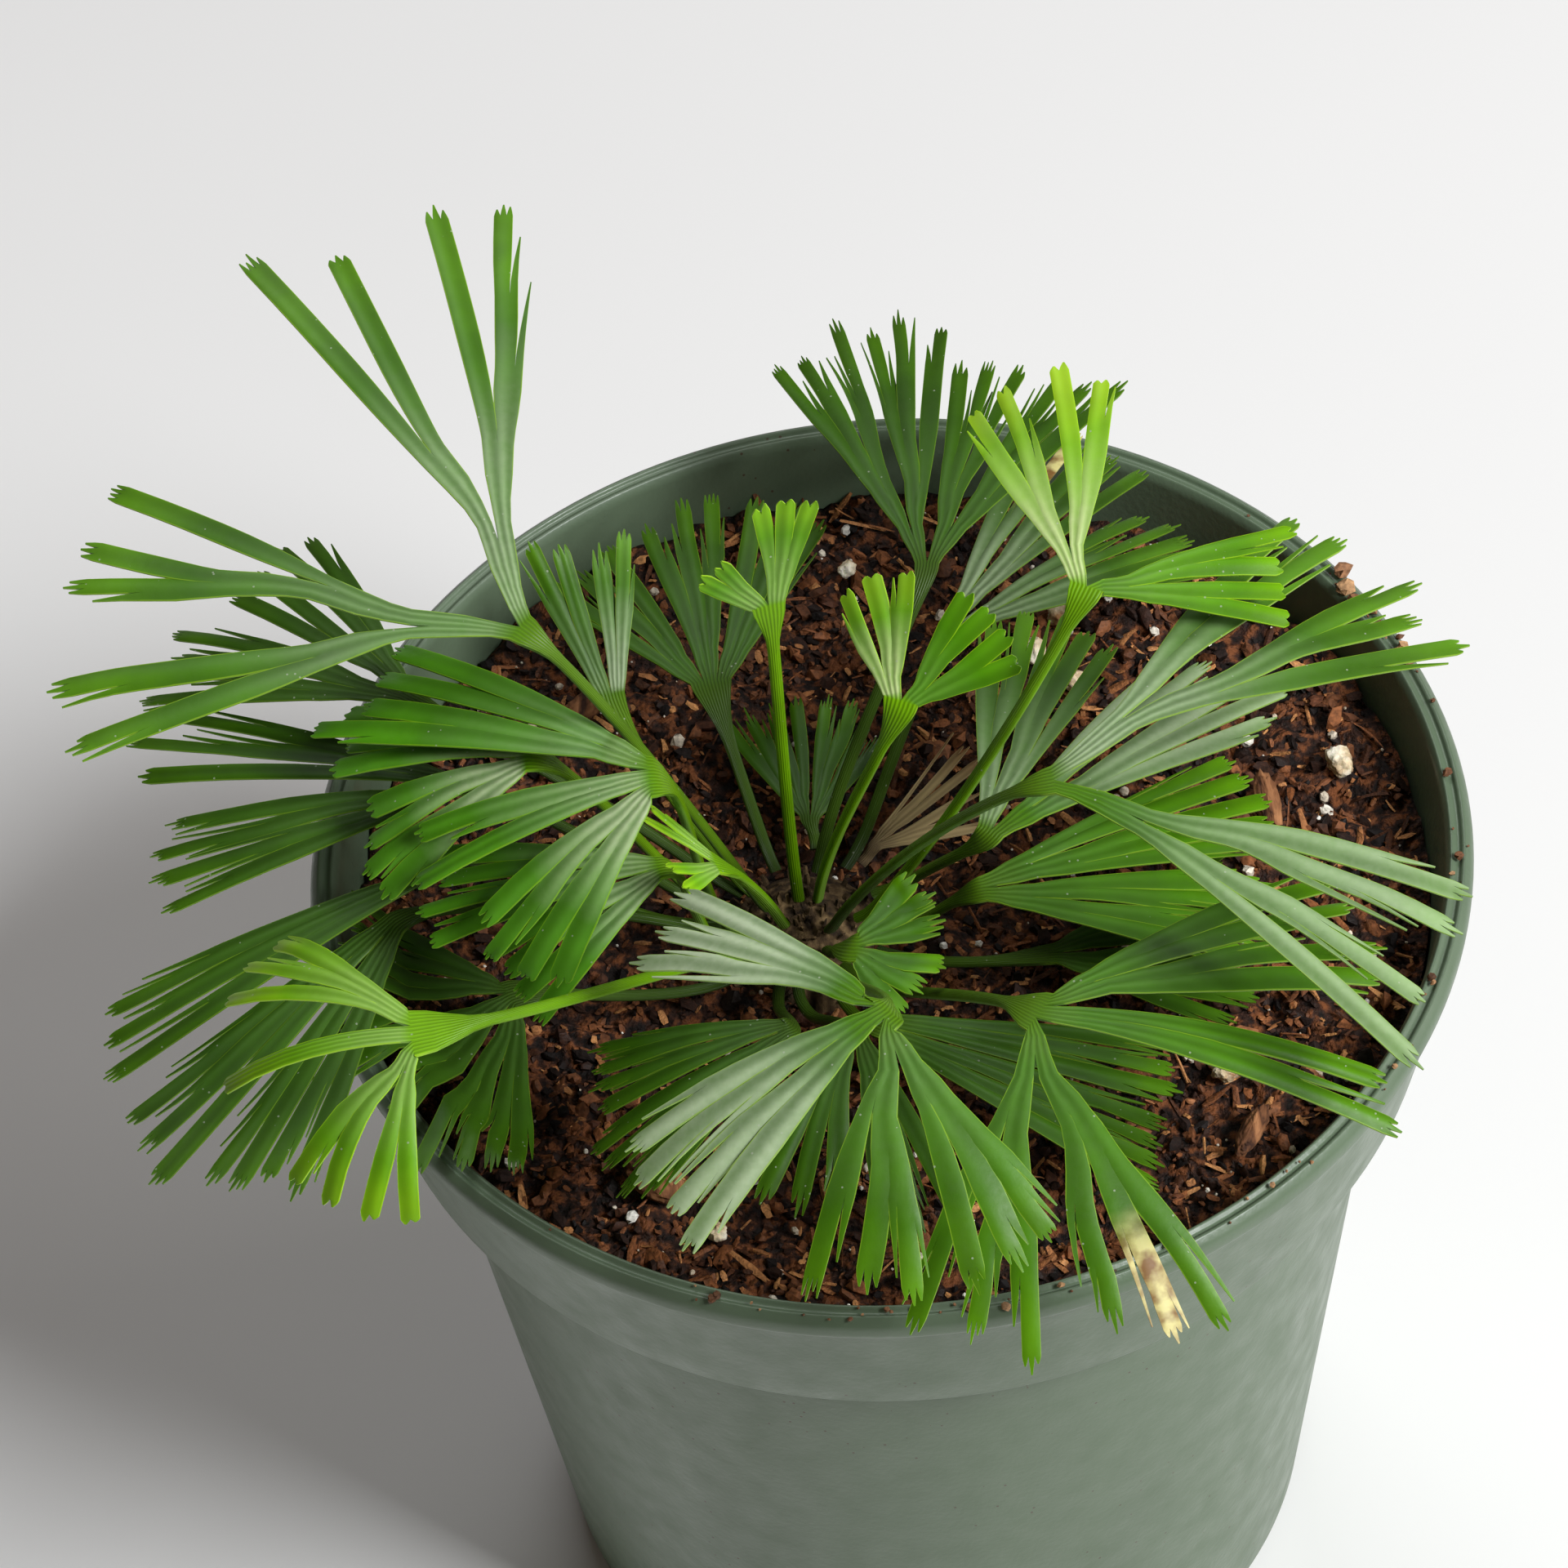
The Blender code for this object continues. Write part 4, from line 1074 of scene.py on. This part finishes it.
def soil_material():
    """Damp, near-black crumbs with brown fibre between."""
    material, tree, shader = new_material("soil", roughness=0.85, specular=0.3)
    clods = noise_of(tree, 760.0, 5.0)
    colour = ramp(tree, clods, ((0.38, (0.006, 0.0025, 0.0015)), (0.50, (0.040, 0.014, 0.007)),
                                (0.62, (0.200, 0.064, 0.020))))
    feed(tree, shader.inputs["Base Color"], colour)
    rough = ramp(tree, noise_of(tree, 900.0, 2.0), ((0.3, 0.55), (0.7, 0.95)))
    feed(tree, shader.inputs["Roughness"], rough)
    bump(tree, shader, plus(tree, clods, noise_of(tree, 1600.0, 5.0)), 1.0, 0.0008)
    return material


def make_soil():
    """The potting mix: a crumbly top on the body that fills the pot."""
    inward = (LIP_INNER_RADIUS - BAND_LOW_RADIUS + WALL) * SOIL_EDGE_SHARE
    edge = LIP_INNER_RADIUS - inward - SOIL_GAP
    rings = int(edge / SOIL_RING)
    points, faces, rows = [Vector((0.0, 0.0, crumbly(0.0, 0.0)))], [], []
    for ring in range(1, rings + 1):
        radius = edge * ring / rings
        count = max(8, round(2.0 * math.pi * radius / SOIL_RING / 8.0) * 8)
        row = []
        for step in range(count):
            spot = heading(360.0 * step / count) * radius
            row.append(len(points))
            points.append(Vector((spot.x, spot.y, crumbly(spot.x, spot.y))))
        rows.append(row)
    faces += [(0, rows[0][k], rows[0][(k + 1) % len(rows[0])]) for k in range(len(rows[0]))]
    for inner, outer in zip(rows, rows[1:]):
        faces += [face[::-1] for face in zip_rows(inner + inner[:1], outer + outer[:1])]
    low = []
    for radius, z in ((BAND_LOW_RADIUS - WALL - SOIL_SIDE_GAP, SHOULDER_Z + WALL),
                      (BODY_TOP_RADIUS - WALL - SOIL_SIDE_GAP, SHOULDER_Z - WALL),
                      (BOTTOM_RADIUS, SOIL_LOW)):
        row = []
        for step in range(SOIL_SIDE_STEPS):
            row.append(len(points))
            points.append(heading(360.0 * step / SOIL_SIDE_STEPS) * radius + UP * z)
        low.append(row)
    for inner, outer in zip([rows[-1]] + low, low):
        faces += [face[::-1] for face in zip_rows(inner + inner[:1], outer + outer[:1])]
    faces.append(tuple(low[-1][::-1]))
    soil = mesh_object("soil", points, faces, soil_material())
    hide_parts("potting_mix")
    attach(soil, "root")


class Scatter:
    """Many small loose bits gathered into one mesh, each with its own tint."""

    def __init__(self, name, seed):
        self.name = name
        self.chance = random.Random(seed)
        self.points = []
        self.faces = []
        self.tints = []

    def lump(self, middle, size, spin, rough, sides=6, rings=4):
        """A rough rounded lump: a low ball with its points pushed about."""
        chance = self.chance
        tint = (chance.random(), chance.random(), chance.random())
        first = len(self.points)
        spots = [(0.0, 0.0, -0.5)]
        for ring in range(1, rings):
            slope = math.pi * ring / rings
            for step in range(sides):
                a = 2.0 * math.pi * (step + 0.5 * (ring % 2)) / sides
                spots.append((math.sin(slope) * math.cos(a) / 2, math.sin(slope) * math.sin(a) / 2,
                              -math.cos(slope) / 2))
        spots.append((0.0, 0.0, 0.5))
        for x, y, z in spots:
            push = 1.0 + chance.uniform(-rough, rough)
            self.points.append(middle + spin @ stretched((x, y, z), size) * push)
        self.tints += [tint] * len(spots)
        self.faces += capped_rings(first, sides, rings - 1)

    def splinter(self, middle, length, width, spin):
        """A flat splinter with ragged ends, a little bent."""
        chance = self.chance
        tint = (chance.random(), chance.random(), chance.random())
        first = len(self.points)
        bend = chance.uniform(-0.25, 0.25) * length
        thick = width * chance.uniform(0.25, 0.5)
        stations = 4
        for station in range(stations + 1):
            t = station / stations
            belly = 0.35 + 0.65 * math.sin(math.pi * min(max(t, 0.12), 0.88))
            wide = width * belly * chance.uniform(0.8, 1.2)
            x = (t - 0.5) * length
            z = bend * (4.0 * (t - 0.5) ** 2 - 0.5) * 0.4
            for y, lift in ((-0.5, 0.0), (0.0, 0.5), (0.5, 0.0), (0.0, -0.5)):
                self.points.append(middle + spin @ Vector((x + chance.uniform(-0.04, 0.04) * length,
                                                          y * wide, z + lift * thick)))
                self.tints.append(tint)
        for station in range(stations):
            low = first + station * 4
            for k in range(4):
                ahead = (k + 1) % 4
                self.faces.append((low + k, low + 4 + k, low + 4 + ahead, low + ahead))
        self.faces.append((first, first + 1, first + 2, first + 3))
        end = first + stations * 4
        self.faces.append((end + 3, end + 2, end + 1, end))

    def finish(self, material):
        """Turn the gathered bits into one piece on the root body."""
        bits = mesh_object(self.name, self.points, self.faces, material)
        bits.data.set_sharp_from_angle(angle=math.radians(BIT_SHARP))
        keep_vectors(bits.data, "tint", self.tints)
        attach(bits, "root")
        return bits


def any_spin(chance, tilt):
    """A turn about any axis, tilted from level by at most so many degrees."""
    return (Matrix.Rotation(chance.uniform(0.0, 2.0 * math.pi), 3, "Z")
            @ Matrix.Rotation(math.radians(chance.uniform(-tilt, tilt)), 3, "Y")
            @ Matrix.Rotation(math.radians(chance.uniform(-tilt, tilt)), 3, "X"))


def on_soil(chance, reach=LITTER_RADIUS):
    """A random place on the potting mix."""
    radius, azimuth = reach * math.sqrt(chance.random()), chance.uniform(0.0, 360.0)
    spot = heading(azimuth) * radius
    return Vector((spot.x, spot.y, crumbly(spot.x, spot.y)))


def bits_material(name, low, middle, high, roughness=0.85, fibre=0.0):
    """Loose bits, each tinted between three colours and finely mottled."""
    material, tree, shader = new_material(name, roughness=roughness, specular=0.35)
    tint = attribute_of(tree, "tint")
    colour = ramp(tree, tint[0], ((0.1, low), (0.55, middle), (0.95, high)))
    mottle = noise_of(tree, 1900.0, 4.0, distortion=fibre)
    colour = mixed(tree, 1.0, colour, ramp(tree, mottle, ((0.32, 0.50), (0.68, 1.25))), "MULTIPLY")
    feed(tree, shader.inputs["Base Color"], colour)
    rough = ramp(tree, tint[1], ((0.0, roughness - 0.25), (1.0, roughness)))
    feed(tree, shader.inputs["Roughness"], rough)
    bump(tree, shader, mottle, 0.7, 0.0003)
    return material


def scatter_soil():
    """Crumbs, fibres, chips and specks that lie on the potting mix, and crumbs on the lip."""
    crumbs = Scatter("soil_crumbs", 11)
    chance = crumbs.chance
    for _ in range(CRUMBS):
        size = 0.0005 + 0.0015 * chance.random() ** 3
        shape = (size * chance.uniform(1.0, 1.5), size * chance.uniform(0.6, 1.0),
                 size * chance.uniform(0.5, 0.9))
        crumbs.lump(on_soil(chance) + UP * size * 0.15, shape, any_spin(chance, 60.0), 0.34, 5, 3)
    crumbs.finish(bits_material("crumb", (0.005, 0.002, 0.0015), (0.040, 0.0135, 0.006),
                                (0.270, 0.092, 0.030)))
    fibres = Scatter("soil_fibres", 23)
    chance = fibres.chance
    for _ in range(FIBRES):
        length = 0.0008 + 0.0038 * chance.random() ** 3
        width = 0.0002 + 0.0007 * chance.random()
        fibres.splinter(on_soil(chance) + UP * 0.0003, length, width, any_spin(chance, 35.0))
    fibres.finish(bits_material("fibre", (0.080, 0.026, 0.009), (0.270, 0.090, 0.028),
                                (0.640, 0.290, 0.100), 0.8, 1.5))
    chips = Scatter("soil_chips", 37)
    chance = chips.chance
    for _ in range(CHIPS):
        size = 0.0010 + 0.0026 * chance.random() ** 3
        shape = (size, size * chance.uniform(0.5, 0.8), size * chance.uniform(0.3, 0.55))
        chips.lump(on_soil(chance, CHIP_RADIUS) + UP * size * 0.12, shape, any_spin(chance, 35.0),
                   0.30, 6, 4)
    chips.finish(bits_material("chip", (0.060, 0.020, 0.010), (0.190, 0.064, 0.026),
                               (0.400, 0.160, 0.062)))
    specks = Scatter("soil_specks", 41)
    chance = specks.chance
    for _ in range(SPECKS):
        size = 0.00025 + 0.0014 * chance.random() ** 4
        shape = (size, size * chance.uniform(0.7, 1.0), size * chance.uniform(0.6, 0.9))
        specks.lump(on_soil(chance) + UP * (size * 0.25 + 0.0004), shape,
                    any_spin(chance, 60.0), 0.15)
    specks.finish(bits_material("perlite_speck", (0.62, 0.50, 0.36), (0.80, 0.72, 0.60),
                                (0.92, 0.88, 0.80), 0.9))
    rim = Scatter("rim_crumbs", 53)
    chance = rim.chance
    for _ in range(RIM_CRUMBS):
        azimuth, big = chance.choice(((chance.gauss(-88.0, 16.0), 1.0),
                                      (chance.gauss(-35.0, 30.0), 0.8),
                                      (chance.gauss(24.0, 3.5), 2.2)))
        radius = RIM_RADIUS - LIP_WIDTH * chance.uniform(0.15, 0.8)
        size = 0.0003 + 0.0010 * big * chance.random() ** 3
        spot = heading(azimuth) * radius + UP * (POT_HEIGHT + 0.25 * size)
        shape = (size, size * chance.uniform(0.6, 1.0), size * chance.uniform(0.5, 0.8))
        rim.lump(spot, shape, any_spin(chance, 30.0), 0.25)
    rim.finish(bits_material("rim_crumb", (0.120, 0.050, 0.022), (0.260, 0.110, 0.050),
                             (0.480, 0.270, 0.130)))


def grain_material(look):
    """Perlite: cream, pitted, dusted with brown. Bark: fibrous, red-brown."""
    if look == "perlite":
        material, tree, shader = new_material("perlite", roughness=0.9, specular=0.3,
                                              subsurface=0.1)
        stain = noise_of(tree, 420.0, 4.0)
        colour = ramp(tree, stain, ((0.34, (0.34, 0.17, 0.07)), (0.47, (0.78, 0.62, 0.40)),
                                    (0.66, (0.90, 0.84, 0.70))))
        feed(tree, shader.inputs["Base Color"], colour)
        pits = cells_of(tree, 1500.0)
        bump(tree, shader, plus(tree, pits, noise_of(tree, 1400.0, 4.0)), 0.8, 0.0003)
        return material
    material, tree, shader = new_material("bark", roughness=0.85, specular=0.3)
    strands = noise_of(tree, 700.0, 4.0, places_of(tree, (1.0, 0.25, 1.0)), 0.6)
    colour = ramp(tree, strands, ((0.34, (0.040, 0.015, 0.008)), (0.50, (0.190, 0.075, 0.030)),
                                  (0.68, (0.420, 0.190, 0.080))))
    feed(tree, shader.inputs["Base Color"], colour)
    bump(tree, shader, strands, 1.0, 0.0005)
    return material


def make_grains():
    """The larger loose grains, each a rough lump in its CAD grain's place."""
    materials = {look: grain_material(look) for look in ("perlite", "bark")}
    for grain in GRAINS:
        low, high = (Vector(corner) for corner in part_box(grain.name))
        middle = (low + high) / 2.0
        spin = Matrix.Rotation(math.radians(grain.turn), 3, "Z")
        seed = middle * 900.0
        steps, rings = 28, 18
        points, faces = [], []
        for ring in range(rings + 1):
            slope = math.pi * ring / rings
            for step in range(steps):
                a = 2.0 * math.pi * step / steps
                spot = Vector((math.sin(slope) * math.cos(a), math.sin(slope) * math.sin(a),
                               -math.cos(slope)))
                if grain.look == "bark":
                    ridge = noise.fractal(stretched(spot, (1.2, 6.0, 5.0)) + seed, 0.7, 2.0, 3)
                    push = 1.0 + 0.24 * ridge
                else:
                    push = 1.0 + 0.30 * noise.fractal(spot * 1.6 + seed, 0.8, 2.0, 4)
                half = Vector(grain.size) * MM / 2.0
                points.append(middle + spin @ stretched(spot, half) * push)
        for ring in range(rings):
            for step in range(steps):
                ahead = (step + 1) % steps
                a, b = ring * steps, (ring + 1) * steps
                faces.append((a + step, a + ahead, b + ahead, b + step))
        lump = mesh_object(grain.name + "_grain", points, faces, materials[grain.look])
        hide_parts(grain.name)
        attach(lump, "root")


def make_rhizome():
    """The crown: a knob covered in brown scales; the stipes' dark feet beside it belong to the
    fronds.
    """
    material, tree, shader = new_material("rhizome", roughness=0.9, specular=0.25)
    scales = noise_of(tree, 900.0, 4.0, places_of(tree, (1.0, 1.0, 0.3)))
    colour = ramp(tree, scales, ((0.35, (0.020, 0.012, 0.006)), (0.52, (0.075, 0.045, 0.020)),
                                 (0.70, (0.200, 0.130, 0.060))))
    feed(tree, shader.inputs["Base Color"], colour)
    bump(tree, shader, scales, 1.0, 0.0006)
    knob = Scatter("crown_knob", 67)
    chance = knob.chance
    knob.lump(CROWN, (2.0 * CROWN_RADIUS,) * 3, Matrix.Identity(3), 0.02, 40, 24)
    for _ in range(SCALES):
        away = heading(chance.uniform(0.0, 360.0), chance.uniform(5.0, 85.0))
        spin = away.to_track_quat("X", "Z").to_matrix()
        knob.splinter(CROWN + away * CROWN_RADIUS, chance.uniform(0.0010, 0.0022), 0.0007, spin)
    crown = knob.finish(material)
    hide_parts("rhizome")


make_camera()
make_stage()
make_pot()
make_soil()
scatter_soil()
make_grains()
make_rhizome()
make_fronds()
